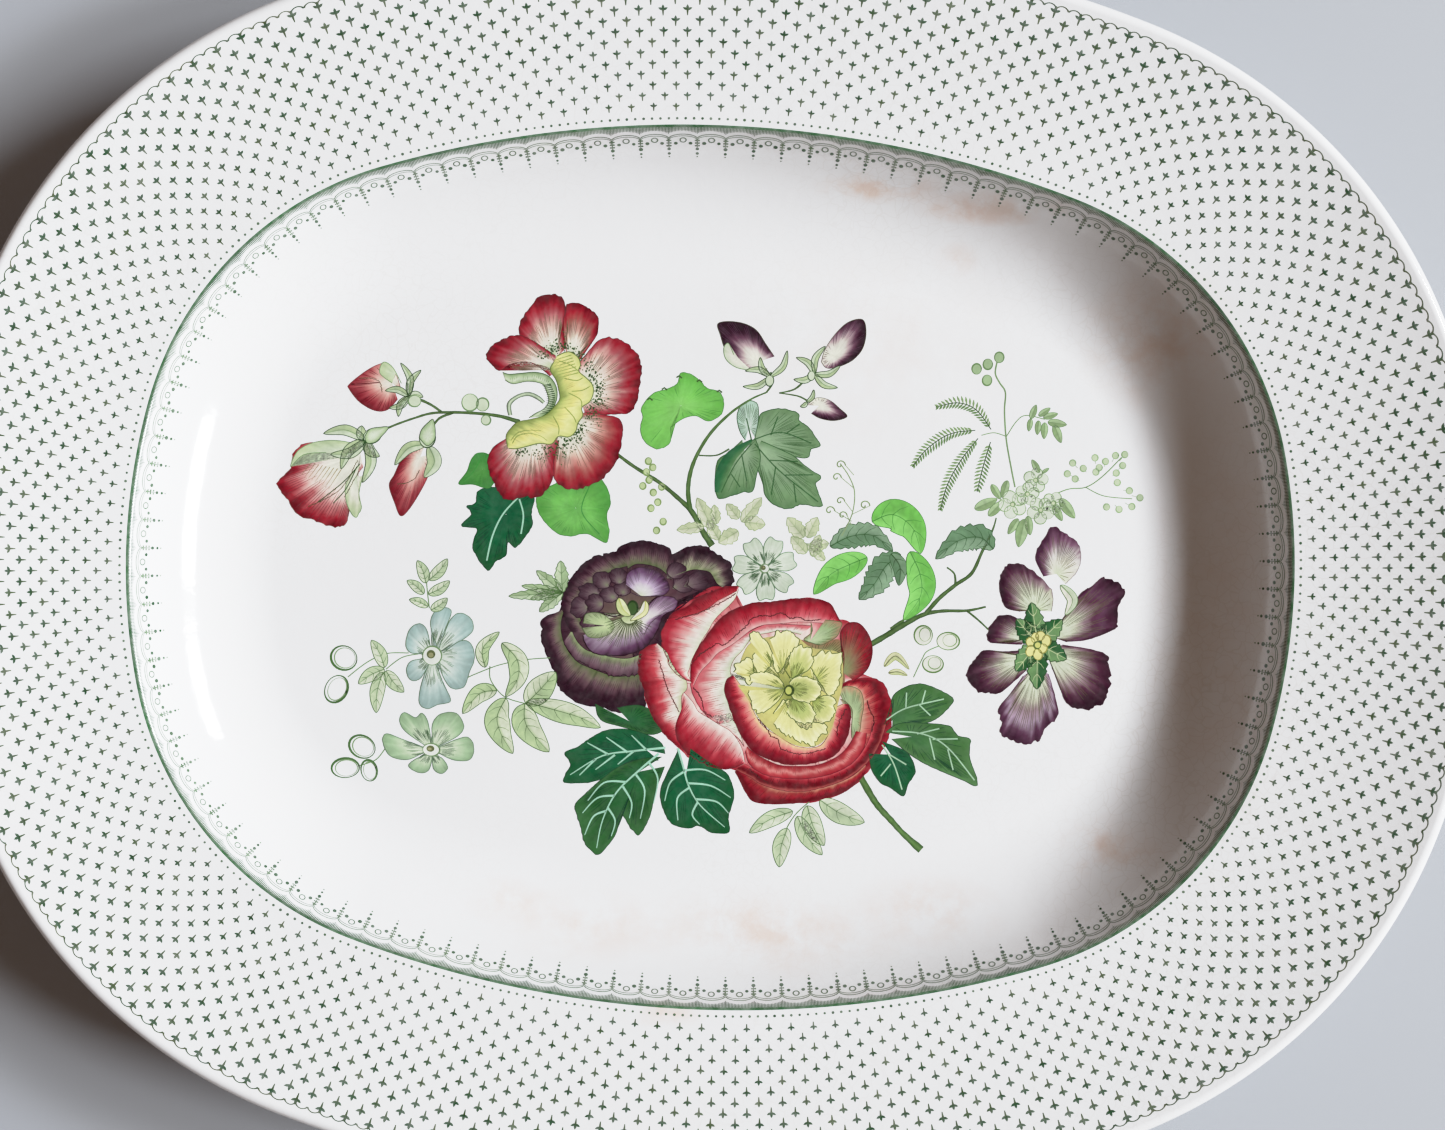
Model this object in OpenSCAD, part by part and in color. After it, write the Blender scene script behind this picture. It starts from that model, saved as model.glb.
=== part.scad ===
// Oval transfer-printed earthenware serving platter: one fired body, its glaze
// coats, and the printed and painted colour layers that lie on the glazed face.
// Long axis along X, face up, foot ring standing on the plane Z = 0.

/* [Outline] */
// Length of the well, measured at the verge where the rim begins
well_length = 358; // [320:1:430]
// Width of the well, measured at the verge
well_width = 271; // [240:1:320]
// Radius of the verge at the four corners
corner_radius = 104; // [92:1:116]
// Half of the turn that the flat curve of each end makes, in degrees
end_half_turn = 12.7; // [11:0.1:15]
// Half of the turn that the flat curve of each long side makes, in degrees
side_half_turn = 18.6; // [16:0.1:21]

/* [Rim] */
// Width of the rim, from the verge to the outermost point of the lip
rim_width = 55.6; // [46:0.1:67]
// Slope of the rim where it leaves the verge, in degrees
rim_inner_slope = 7; // [5:0.5:9]
// Slope of the rim where it reaches the lip, in degrees
rim_outer_slope = 15; // [12:0.5:18]

/* [Well] */
// Radius of the curved wall that joins the floor to the verge
wall_radius = 44; // [37:0.5:52]
// Slope of the wall at the verge, in degrees
wall_slope = 62; // [52:1:70]
// Radius of the crest of the verge
verge_radius = 2; // [1.5:0.1:3]
// Radius of the hollow under the verge, on the back
back_fillet_radius = 7; // [5:0.5:9]

/* [Body] */
// Thickness of the fired clay
body_thickness = 4.6; // [4:0.1:5.5]
// Thickness of each glaze coat
glaze_thickness = 0.4; // [0.3:0.05:0.5]
// Thickness of the printed and painted colours
colour_thickness = 0.15; // [0.12:0.01:0.2]

/* [Foot] */
// Height of the foot ring under the floor
foot_height = 3.6; // [3:0.1:4.5]
// Width of the foot ring
foot_width = 5; // [4:0.1:6.5]
// Distance from the verge in to the outer side of the foot ring
foot_inset = 36; // [32:0.5:39]
// Bevel on the edges of the foot ring
foot_bevel = 0.8; // [0.4:0.1:1.2]
// Height of the wiped, unglazed band around the foot ring
foot_wiped = 1.2; // [1:0.1:1.8]

/* [Rim prints] */
// Distance from the verge out to the row of beads
bead_offset = 1.8; // [1.4:0.1:2.4]
// Width of the row of beads
bead_width = 1.1; // [0.6:0.1:1.4]
// Distance from the verge out to the first sprigs
sprig_offset = 3.6; // [3.2:0.1:5]
// White gap between the printed edge line and the rounding of the lip
edge_gap = 0.2; // [0.2:0.1:1.2]
// Width of the printed edge line
edge_line_width = 1; // [0.6:0.1:1.6]
// Gap between neighbouring print bands
print_gap = 0.4; // [0.2:0.1:0.8]
// Height of the lace on the wall, measured along its slope
lace_height = 16; // [12:0.5:18]
// Width of the hatched line at the top of the lace
verge_line_width = 2.4; // [1.5:0.1:3]

/* [Hidden] */
$fn = 96;

wall_step = 6;       // turn between neighbouring points of the wall's profile, in degrees
fillet_step = 12;    // turn between neighbouring points of the small arcs of the profile
rim_step = 1.8;      // turn between neighbouring points of the rim's profile
outline_step = 6;    // turn between neighbouring points of a plan outline
floor_reach = 20;    // flat floor that each swept sector carries inside the wall
floor_lap = 8;       // overlap of that floor with the central slab

// --- Plan: an oval of eight tangent arcs, symmetrical about X and Y ---

// How much larger than the corner radius the end and side radii are, so that all arcs are tangent
half_spare = [well_length, well_width] / 2 - [corner_radius, corner_radius];
end_bow = 1 - cos(end_half_turn);
side_bow = 1 - cos(side_half_turn);
bow = end_bow * side_bow - sin(end_half_turn) * sin(side_half_turn);
end_extra = (half_spare.x * side_bow - half_spare.y * sin(side_half_turn)) / bow;
side_extra = (half_spare.y * end_bow - half_spare.x * sin(end_half_turn)) / bow;

end_radius = corner_radius + end_extra;
side_radius = corner_radius + side_extra;
end_centre = [well_length / 2 - end_radius, 0];
side_centre = [0, well_width / 2 - side_radius];
corner_centre = end_centre + end_extra * [cos(end_half_turn), sin(end_half_turn)];
corner_turn = 90 - end_half_turn - side_half_turn;

// Each arc is [centre, radius, start angle, span], in order round the oval
half_arcs = [
    [end_centre, end_radius, -end_half_turn, 2 * end_half_turn],
    [corner_centre, corner_radius, end_half_turn, corner_turn],
    [side_centre, side_radius, 90 - side_half_turn, 2 * side_half_turn],
    [[-corner_centre.x, corner_centre.y], corner_radius, 90 + side_half_turn, corner_turn]
];
arcs = [for (turn = [0, 180]) for (a = half_arcs) [a[0] * (turn == 0 ? 1 : -1), a[1], a[2] + turn, a[3]]];

// Points of the oval that runs a distance s outside the verge
function outline(s) = [
    for (a = arcs)
        let (n = ceil(a[3] / outline_step))
        for (i = [0 : n - 1])
            let (t = a[2] + a[3] * i / n)
            a[0] + (a[1] + s) * [cos(t), sin(t)]
];

// Moves in a rounded step and a fine one, so that tangent sectors stay true when written out
module set_at(p) {
    rounded = [for (v = p) round(v * 100) / 100];
    translate(rounded) translate(p - rounded) children();
}

// Sweeps a profile of [distance outside the verge, height] round the whole oval
module sweep(profile) {
    for (a = arcs)
        set_at(a[0])
            rotate_extrude(angle = a[3], start = a[2])
                set_at([a[1], 0])
                    polygon(profile);
}

// A flat slab that fills the middle of a swept floor
module floor_slab(z, thickness) {
    translate([0, 0, z])
        linear_extrude(thickness)
            polygon(outline(floor_lap - floor_reach - wall_run));
}

// --- Profile: points are [distance outside the verge, height, direction of the outward normal] ---

// A point moved outwards along its own normal
function lifted(p, d) = [p[0] + d * cos(p[2]), p[1] + d * sin(p[2])];
function lifted_all(path, d) = [for (p = path) lifted(p, d)];
function reversed(path) = [for (i = [len(path) - 1 : -1 : 0]) path[i]];

// The point where two circles meet, on the right of the line from the first centre to the second
function meet(c1, r1, c2, r2) =
    let (
        d = norm(c2 - c1),
        along = (r1 * r1 - r2 * r2 + d * d) / (2 * d),
        across = sqrt(r1 * r1 - along * along),
        u = (c2 - c1) / d
    )
    c1 + along * u + across * [u.y, -u.x];

// Points of an arc whose normal turns from a0 to a1; a hollow arc has its normal towards its centre
function arc_path(centre, r, a0, a1, step, hollow = false) =
    let (n = max(1, ceil(abs(a1 - a0) / step)), side = hollow ? -1 : 1)
    [
        for (i = [0 : n])
            let (a = a0 + (a1 - a0) * i / n)
            [centre.x + side * r * cos(a), centre.y + side * r * sin(a), a]
    ];

floor_top = foot_height + body_thickness;
verge_start = -verge_radius * (sin(wall_slope) - sin(rim_inner_slope));
wall_run = wall_radius * sin(wall_slope) - verge_start;
wall_centre = [-wall_run, floor_top + wall_radius];
verge_centre = [
    verge_start - verge_radius * sin(-wall_slope),
    wall_centre.y - (wall_radius + verge_radius) * cos(wall_slope)
];
verge_top = verge_centre.y + verge_radius * cos(rim_inner_slope);

lip_radius = body_thickness / 2;
rim_run = rim_width - glaze_thickness - lip_radius * (1 + sin(rim_outer_slope));
rim_radius = rim_run / (sin(rim_outer_slope) - sin(rim_inner_slope));
rim_centre = [-rim_radius * sin(rim_inner_slope), verge_top + rim_radius * cos(rim_inner_slope)];
lip_centre = [rim_run, 0] + [
    lip_radius * sin(rim_outer_slope),
    rim_centre.y - (rim_radius + lip_radius) * cos(rim_outer_slope)
];

// The drawing grows and shrinks with the flat of the floor
drawing_scale = min((well_length / 2 - wall_run) / 138.6, (well_width / 2 - wall_run) / 95.1);

// Limits of the prints: along the wall as turns of its arc, on the rim as distances from the verge
function wall_turn(length) = 180 * length / (PI * wall_radius);
verge_line_low = 90 + wall_slope - wall_turn(verge_line_width);
lace_high = verge_line_low - wall_turn(print_gap);
lace_low = lace_high - wall_turn(lace_height);
edge_line_outer = rim_run - edge_gap;
edge_line_inner = edge_line_outer - edge_line_width;
sprig_outer = edge_line_inner - print_gap;

// Part of the wall's face between two turns, and of the rim's face between two distances
function wall_part(low, high) = arc_path(wall_centre, wall_radius, low, high, wall_step, true);
function rim_turn(s) = 90 + asin((s - rim_centre.x) / rim_radius);
function rim_part(inner, outer) =
    arc_path(rim_centre, rim_radius, rim_turn(inner), rim_turn(outer), rim_step, true);

lace_path = wall_part(lace_low, lace_high);
verge_line_path = wall_part(verge_line_low, 90 + wall_slope);
bead_path = rim_part(bead_offset - bead_width / 2, bead_offset + bead_width / 2);
sprig_path = rim_part(sprig_offset, sprig_outer);
edge_line_path = rim_part(edge_line_inner, edge_line_outer);

floor_edge = [-wall_run - floor_reach, floor_top, 90];
verge_path = arc_path(verge_centre, verge_radius, 90 + wall_slope, 90 + rim_inner_slope, fillet_step);
face_path = concat(
    [floor_edge],
    wall_part(90, lace_low),
    lace_path,
    verge_line_path,
    verge_path,
    bead_path,
    sprig_path,
    edge_line_path,
    [[rim_run, rim_centre.y - rim_radius * cos(rim_outer_slope), 90 + rim_outer_slope]]
);

// The back follows the face at the body's thickness, with a fillet in the angle under the verge
back_wall_radius = wall_radius + body_thickness;
back_rim_radius = rim_radius + body_thickness;
fillet_centre = meet(
    wall_centre, back_wall_radius + back_fillet_radius,
    rim_centre, back_rim_radius + back_fillet_radius
);
fillet_outer = atan2(fillet_centre.y - rim_centre.y, fillet_centre.x - rim_centre.x);
fillet_inner = atan2(fillet_centre.y - wall_centre.y, fillet_centre.x - wall_centre.x);
foot_outside = -foot_inset;
foot_inside = foot_outside - foot_width;
foot_turn = -acos((foot_outside - wall_centre.x) / back_wall_radius);

lip_upper = arc_path(lip_centre, lip_radius, 90 + rim_outer_slope, 0, 2 * fillet_step);
lip_lower = arc_path(lip_centre, lip_radius, 0, rim_outer_slope - 90, 2 * fillet_step);
back_rim_path = arc_path(rim_centre, back_rim_radius, rim_outer_slope - 90, fillet_outer, rim_step);
fillet_path = arc_path(fillet_centre, back_fillet_radius, fillet_outer, fillet_inner, fillet_step, true);
back_wall_path = arc_path(wall_centre, back_wall_radius, fillet_inner, foot_turn, wall_step);
back_path = concat(back_rim_path, fillet_path, back_wall_path);

foot_profile = [
    [foot_outside, foot_bevel],
    [foot_outside - foot_bevel, 0],
    [foot_inside + foot_bevel, 0],
    [foot_inside, foot_bevel],
    [foot_inside, foot_height],
    [floor_edge[0], foot_height]
];

// --- Fired body and glaze ---

module body() {
    color("ivory") union() {
        sweep(concat(lifted_all(concat(face_path, lip_upper, lip_lower, back_path), 0), foot_profile));
        floor_slab(foot_height, body_thickness);
    }
}

// A coat of even thickness over a path of the body's surface
function coat(path, from, thickness) =
    concat(lifted_all(path, from), reversed(lifted_all(path, from + thickness)));

module face_glaze() {
    color("white") union() {
        sweep(coat(concat(face_path, lip_upper), 0, glaze_thickness));
        floor_slab(floor_top, glaze_thickness);
    }
}

// Height of the back of the wall at the outer side of the foot, under a coat of thickness d
function back_wall_height(s, d) =
    wall_centre.y - sqrt(pow(back_wall_radius + d, 2) - pow(s - wall_centre.x, 2));

module back_glaze() {
    coated = concat(lip_lower, back_path);
    outside = [for (p = lifted_all(coated, glaze_thickness)) if (p[0] > foot_outside + glaze_thickness) p];
    color("whitesmoke")
        sweep(concat(
            lifted_all(coated, 0),
            [
                [foot_outside, foot_wiped],
                [foot_outside + glaze_thickness, foot_wiped],
                [
                    foot_outside + glaze_thickness,
                    back_wall_height(foot_outside + glaze_thickness, glaze_thickness)
                ]
            ],
            reversed(outside)
        ));
}

module recess_glaze() {
    color("whitesmoke") union() {
        sweep([
            [foot_inside, foot_wiped],
            [foot_inside, foot_height],
            [floor_edge[0], foot_height],
            [floor_edge[0], foot_height - glaze_thickness],
            [foot_inside - glaze_thickness, foot_height - glaze_thickness],
            [foot_inside - glaze_thickness, foot_wiped]
        ]);
        floor_slab(foot_height - glaze_thickness, glaze_thickness);
    }
}

// --- Prints on the rim and wall ---

// A printed band over a part of the glazed face
module print_band(path) {
    sweep(coat(path, glaze_thickness, colour_thickness));
}

module edge_line_print() {
    color("darkolivegreen") print_band(edge_line_path);
}

module sprig_print() {
    color("darkseagreen") print_band(sprig_path);
}

module bead_print() {
    color("darkolivegreen") print_band(bead_path);
}

module verge_line_print() {
    color("olivedrab") print_band(verge_line_path);
}

module lace_print() {
    color("darkseagreen") print_band(lace_path);
}

// --- Colours on the floor: flat shapes drawn in plan, set on the glaze ---

module on_floor() {
    translate([0, 0, floor_top + glaze_thickness])
        linear_extrude(colour_thickness)
            intersection() {
                scale([drawing_scale, drawing_scale]) children();
                polygon(outline(-wall_run));
            }
}

// A pointed leaf or petal from a point, along a direction, as the overlap of two discs
module leaf(at, direction, length, width) {
    r = (length * length + width * width) / (4 * width);
    translate(at)
        rotate(direction)
            translate([length / 2, 0])
                intersection() {
                    translate([0, r - width / 2]) circle(r);
                    translate([0, width / 2 - r]) circle(r);
                }
}

// A compound leaf: one lobe along the direction and pairs of lobes spread to its sides
module lobed_leaf(at, direction, length, width, spread = 48) {
    leaf(at, direction, length, width);
    for (side = [-1, 1])
        leaf(at, direction + side * spread, length * 0.8, width);
}

// A stem of even width along a path of points
module stem(path, width) {
    last = len(path) - 1;
    normals = [
        for (i = [0 : last])
            let (d = path[min(i + 1, last)] - path[max(i - 1, 0)])
            [-d.y, d.x] / norm(d)
    ];
    polygon(concat(
        [for (i = [0 : last]) path[i] + normals[i] * width / 2],
        [for (i = [last : -1 : 0]) path[i] - normals[i] * width / 2]
    ));
}

// A ring of round petals
module petals(at, ring_radius, petal_radius, directions) {
    for (t = directions)
        translate(at + ring_radius * [cos(t), sin(t)]) circle(petal_radius);
}

// The drawing, one flat group of shapes for each colour

module stem_shapes() {
    stem([[-62, 44], [-72, 46], [-84, 46], [-96, 42], [-106, 38]], 1.2);
    stem([[-29, 34], [-20, 28], [-12, 20], [-5, 9]], 1.6);
    stem([[-8, 24], [-8, 34], [-4, 44], [3, 51], [9, 55]], 1.1);
    stem([[51, -22], [60, -16], [70, -11], [80, -10], [87, -9]], 1.2);
    stem([[71, -9], [79, -2], [84, 5], [88, 13]], 1);
    stem([[50, -67], [56, -74], [63, -81], [71, -86]], 1.8);
}

module pale_spray_shapes() {
    petals([-87, -31], 7, 5, [20, 92, 164, 236, 308]);
    petals([-87, -61], 7, 5, [20, 92, 164, 236, 308]);
    petals([18, 4], 6, 3.6, [60, 120, 180]);
    petals([100, 27], 5, 4, [30, 102, 174, 246, 318]);
    leaf([-62, -38], 60, 13, 5);
    leaf([-62, -42], 250, 18, 6);
    leaf([-52, -52], 150, 10, 4);
    leaf([30, -78], 200, 15, 5);
    leaf([33, -79], 270, 15, 5);
    leaf([84, 46], 205, 22, 3);
    leaf([82, 45], 235, 24, 3);
    leaf([82, 50], 150, 14, 3);
    petals([-115, -39], 4, 2.6, [80, 240]);
    petals([-112, -66], 4, 2.6, [80, 200]);
    petals([73, -23], 4.5, 2.4, [40, 130, 270]);
}

module deep_green_shapes() {
    lobed_leaf([-64, 20], 250, 25, 10);
    lobed_leaf([-22, -58], 240, 34, 15);
    lobed_leaf([-3, -64], 290, 24, 14, 34);
    lobed_leaf([60, -52], 320, 28, 12);
    lobed_leaf([14, 52], 295, 30, 14);
}

module bright_green_shapes() {
    leaf([-50, 24], 300, 26, 15);
    leaf([-2, 56], 195, 26, 12);
    leaf([69, 9], 128, 18, 9);
    leaf([52, 4], 215, 18, 8);
    leaf([67, 4], 268, 18, 8);
}

module crimson_shapes() {
    petals([-49, 50], 17, 9.5, [-100, -68, -36, -4, 28, 60, 88]);
    petals([28, -39], 19, 13, [10 : 36 : 350]);
    leaf([-120, 30], 232, 24, 15);
    leaf([-92, 33], 250, 22, 8);
    leaf([-104, 51], 170, 14, 9);
}

module purple_shapes() {
    petals([-31, -15], 11, 9, [60, 105, 150, 195, 240]);
    petals([104, -20], 15, 6, [15, 75, 130, 185, 255, 315]);
    leaf([14, 64], 132, 19, 9);
    leaf([34, 67], 58, 17, 8);
    leaf([28, 53], 350, 13, 5);
    leaf([107, 6], 80, 12, 9);
}

module yellow_shapes() {
    petals([-49, 50], 0, 12, [0]);
    petals([28, -39], 0, 16, [0]);
    petals([104, -20], 0, 4, [0]);
}

// Each colour stops where the one before it begins

module yellow_enamel() {
    color("khaki") on_floor() yellow_shapes();
}

module crimson_enamel() {
    color("crimson") on_floor() difference() {
        crimson_shapes();
        yellow_shapes();
    }
}

module purple_enamel() {
    color("indigo") on_floor() difference() {
        purple_shapes();
        yellow_shapes();
        crimson_shapes();
    }
}

module bright_green_enamel() {
    color("limegreen") on_floor() difference() {
        bright_green_shapes();
        crimson_shapes();
        purple_shapes();
    }
}

module deep_green_enamel() {
    color("seagreen") on_floor() difference() {
        deep_green_shapes();
        crimson_shapes();
        purple_shapes();
        bright_green_shapes();
    }
}

module stem_print() {
    color("forestgreen") on_floor() difference() {
        stem_shapes();
        crimson_shapes();
        purple_shapes();
        bright_green_shapes();
        deep_green_shapes();
    }
}

module pale_spray_print() {
    color("darkseagreen") on_floor() difference() {
        pale_spray_shapes();
        crimson_shapes();
        purple_shapes();
        bright_green_shapes();
        deep_green_shapes();
        stem_shapes();
    }
}

body();
face_glaze();
back_glaze();
recess_glaze();
edge_line_print();
sprig_print();
bead_print();
verge_line_print();
lace_print();
stem_print();
pale_spray_print();
deep_green_enamel();
bright_green_enamel();
crimson_enamel();
purple_enamel();
yellow_enamel();
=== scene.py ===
"""Oval transfer-printed serving platter, seen from above on a plain table.

The ware and its print are built from the same oval and the same profile as the
CAD model. Lengths are in millimetres until make_piece() turns them into metres.
"""
import math
import random

import bpy
from mathutils import Matrix, Vector, noise


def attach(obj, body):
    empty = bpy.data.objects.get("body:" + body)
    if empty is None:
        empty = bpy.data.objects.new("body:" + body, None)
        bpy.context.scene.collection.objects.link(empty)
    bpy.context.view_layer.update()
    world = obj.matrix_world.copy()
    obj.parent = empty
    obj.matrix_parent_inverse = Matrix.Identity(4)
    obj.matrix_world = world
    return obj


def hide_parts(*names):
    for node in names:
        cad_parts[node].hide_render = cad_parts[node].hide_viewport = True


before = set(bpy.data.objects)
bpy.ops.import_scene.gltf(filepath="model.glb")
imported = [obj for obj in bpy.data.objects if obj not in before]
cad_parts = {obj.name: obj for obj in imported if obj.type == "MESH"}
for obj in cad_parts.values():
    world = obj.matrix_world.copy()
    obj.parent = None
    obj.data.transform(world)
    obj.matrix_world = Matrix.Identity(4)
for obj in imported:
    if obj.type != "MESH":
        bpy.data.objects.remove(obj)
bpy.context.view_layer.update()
random.seed(11)

# --- Driving sizes, as in the CAD model ---------------------------------------------------

WELL_LENGTH, WELL_WIDTH = 358.0, 271.0
CORNER_RADIUS = 104.0
END_HALF_TURN, SIDE_HALF_TURN = math.radians(12.7), math.radians(18.6)
RIM_WIDTH = 55.6
RIM_INNER_SLOPE, RIM_OUTER_SLOPE = math.radians(7), math.radians(15)
WALL_RADIUS, WALL_SLOPE = 44.0, math.radians(62)
VERGE_RADIUS = 2.0
BACK_FILLET_RADIUS = 7.0
CLAY, GLAZE = 4.6, 0.4
FOOT_HEIGHT, FOOT_WIDTH, FOOT_INSET, FOOT_BEVEL, FOOT_WIPED = 3.6, 5.0, 36.0, 0.8, 1.2

QUARTER = math.pi / 2
FLOOR_Z = FOOT_HEIGHT + CLAY
INK = 0.03           # how far the print stands above the glaze, so that it is never buried
LAYER = 0.006        # how far each painted layer stands above the one under it
HATCH_LIFT = 0.003   # engraved lines over their own layer
OUTLINE_LIFT = 0.004
TORN_LIFT = 0.005
CLAY_INSET = 0.05    # how far the clay stays inside its glaze
TABLE_REACH = 3      # half the side of the table, in metres


# --- The oval: eight tangent arcs round the verge -----------------------------------------

def oval_arcs():
    """[(centre x, centre y, radius, start angle, span)] in order, from the +X end."""
    spare_x, spare_y = WELL_LENGTH / 2 - CORNER_RADIUS, WELL_WIDTH / 2 - CORNER_RADIUS
    end_bow, side_bow = 1 - math.cos(END_HALF_TURN), 1 - math.cos(SIDE_HALF_TURN)
    end_rise, side_rise = math.sin(END_HALF_TURN), math.sin(SIDE_HALF_TURN)
    bow = end_bow * side_bow - end_rise * side_rise
    end_extra = (spare_x * side_bow - spare_y * side_rise) / bow
    side_extra = (spare_y * end_bow - spare_x * end_rise) / bow
    end_r, side_r = CORNER_RADIUS + end_extra, CORNER_RADIUS + side_extra
    end_x, side_y = WELL_LENGTH / 2 - end_r, WELL_WIDTH / 2 - side_r
    corner_x, corner_y = end_x + end_extra * math.cos(END_HALF_TURN), end_extra * end_rise
    turn = QUARTER - END_HALF_TURN - SIDE_HALF_TURN
    half = [
        (end_x, 0, end_r, -END_HALF_TURN, 2 * END_HALF_TURN),
        (corner_x, corner_y, CORNER_RADIUS, END_HALF_TURN, turn),
        (0, side_y, side_r, QUARTER - SIDE_HALF_TURN, 2 * SIDE_HALF_TURN),
        (-corner_x, corner_y, CORNER_RADIUS, QUARTER + SIDE_HALF_TURN, turn),
    ]
    return half + [(-x, -y, r, a + math.pi, span) for x, y, r, a, span in half]


ARCS = oval_arcs()
GIRTH = sum(r * span for _, _, r, _, span in ARCS)


def station(u):
    """Centre, radius and outward direction of the oval at distance u along the verge."""
    u %= GIRTH
    for x, y, r, start, span in ARCS:
        if u <= r * span:
            break
        u -= r * span
    angle = start + u / r
    return x, y, r, math.cos(angle), math.sin(angle)


def plan(u, s):
    """The point a distance s outside the verge, in plan."""
    x, y, r, dx, dy = station(u)
    return x + (r + s) * dx, y + (r + s) * dy


def offset_of(px, py):
    """How far a point lies outside the verge; well inside the floor it is only a bound."""
    best = -1e9
    for x, y, r, start, span in ARCS:
        turn = (math.atan2(py - y, px - x) - start) % (2 * math.pi)
        if turn <= span:
            best = max(best, math.hypot(px - x, py - y) - r)
    return best


# --- The profile: arcs given as (centre s, centre z, radius, first normal, last normal) ----

VERGE_S = VERGE_RADIUS * (math.sin(RIM_INNER_SLOPE) - math.sin(WALL_SLOPE))
WALL_RUN = WALL_RADIUS * math.sin(WALL_SLOPE) - VERGE_S
WALL_C = (-WALL_RUN, FLOOR_Z + WALL_RADIUS)
VERGE_C = (VERGE_S + VERGE_RADIUS * math.sin(WALL_SLOPE),
    WALL_C[1] - (WALL_RADIUS + VERGE_RADIUS) * math.cos(WALL_SLOPE))
LIP_RADIUS = CLAY / 2
RIM_RUN = RIM_WIDTH - GLAZE - LIP_RADIUS * (1 + math.sin(RIM_OUTER_SLOPE))
RIM_RADIUS = RIM_RUN / (math.sin(RIM_OUTER_SLOPE) - math.sin(RIM_INNER_SLOPE))
VERGE_Z = VERGE_C[1] + VERGE_RADIUS * math.cos(RIM_INNER_SLOPE)
RIM_C = (-RIM_RADIUS * math.sin(RIM_INNER_SLOPE), VERGE_Z + RIM_RADIUS * math.cos(RIM_INNER_SLOPE))
LIP_C = (RIM_RUN + LIP_RADIUS * math.sin(RIM_OUTER_SLOPE),
    RIM_C[1] - (RIM_RADIUS + LIP_RADIUS) * math.cos(RIM_OUTER_SLOPE))


def arc(centre, radius, first, last, hollow, step):
    """Points (s, z, normal angle) of an arc; a hollow arc's normals point at its centre."""
    count = max(1, math.ceil(abs(last - first) * radius / step))
    side = -1 if hollow else 1
    turns = [first + (last - first) * i / count for i in range(count + 1)]
    return [(centre[0] + side * radius * math.cos(t), centre[1] + side * radius * math.sin(t), t)
            for t in turns]


def meet(c1, r1, c2, r2):
    """Where two circles meet, on the right of the line from the first centre to the second."""
    d = math.dist(c1, c2)
    along = (r1 * r1 - r2 * r2 + d * d) / (2 * d)
    across = math.sqrt(r1 * r1 - along * along)
    ux, uy = (c2[0] - c1[0]) / d, (c2[1] - c1[1]) / d
    return c1[0] + along * ux + across * uy, c1[1] + along * uy - across * ux


FLOOR_REACH = 18     # flat floor swept inside the wall, before the floor is filled in rings
FLOOR_EDGE_S = -WALL_RUN - FLOOR_REACH


def face_profile():
    """From the floor up the wall, over the verge and out along the rim to the lip's outermost line."""
    flat = [(FLOOR_EDGE_S + FLOOR_REACH * i / 12, FLOOR_Z, QUARTER) for i in range(12)]
    return (flat
            + arc(WALL_C, WALL_RADIUS, QUARTER, QUARTER + WALL_SLOPE, True, 1.2)[:-1]
            + arc(VERGE_C, VERGE_RADIUS, QUARTER + WALL_SLOPE, QUARTER + RIM_INNER_SLOPE, False, 0.2)[:-1]
            + arc(RIM_C, RIM_RADIUS, QUARTER + RIM_INNER_SLOPE, QUARTER + RIM_OUTER_SLOPE, True, 1.5)[:-1]
            + arc(LIP_C, LIP_RADIUS, QUARTER + RIM_OUTER_SLOPE, 0, False, 0.25))


def back_profile():
    """From the lip's outermost line in along the back to the outer side of the foot ring."""
    back_wall, back_rim = WALL_RADIUS + CLAY, RIM_RADIUS + CLAY
    fillet = meet(WALL_C, back_wall + BACK_FILLET_RADIUS, RIM_C, back_rim + BACK_FILLET_RADIUS)
    outer = math.atan2(fillet[1] - RIM_C[1], fillet[0] - RIM_C[0])
    inner = math.atan2(fillet[1] - WALL_C[1], fillet[0] - WALL_C[0])
    foot_turn = -math.acos((WALL_RUN - FOOT_INSET) / back_wall)
    return (arc(LIP_C, LIP_RADIUS, 0, RIM_OUTER_SLOPE - QUARTER, False, 0.25)[:-1]
            + arc(RIM_C, back_rim, RIM_OUTER_SLOPE - QUARTER, outer, False, 2.0)[:-1]
            + arc(fillet, BACK_FILLET_RADIUS, outer, inner, True, 0.6)[:-1]
            + arc(WALL_C, back_wall, inner, foot_turn, False, 1.2))


def lifted(path, d):
    """A profile moved a distance d along its normals."""
    return [(s + d * math.cos(t), z + d * math.sin(t)) for s, z, t in path]


def wobble(x, y):
    """The slight unevenness of a pressed and fired face, in height."""
    p = Vector((x / 70, y / 70, 3.7))
    return 0.16 * noise.noise(p) + 0.05 * noise.noise(p * 3.1)


def face_height(s):
    """Height and slope of the glazed face at a distance s outside the verge, at most on the rim."""
    if s <= -WALL_RUN:
        return FLOOR_Z + GLAZE, 0.0
    if s < VERGE_S:
        slope = math.asin(min(1, (s + WALL_RUN) / (WALL_RADIUS - GLAZE)))
        return WALL_C[1] - (WALL_RADIUS - GLAZE) * math.cos(slope), slope
    slope = math.asin((s - RIM_C[0]) / (RIM_RADIUS - GLAZE))
    return RIM_C[1] - (RIM_RADIUS - GLAZE) * math.cos(slope), slope


def on_floor(x, y, lift=INK):
    """The point of the glazed floor or wall over a plan position."""
    s = offset_of(x, y) if math.hypot(x, y) > 80 else FLOOR_EDGE_S
    return x, y, face_height(s)[0] + wobble(x, y) + lift


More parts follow.
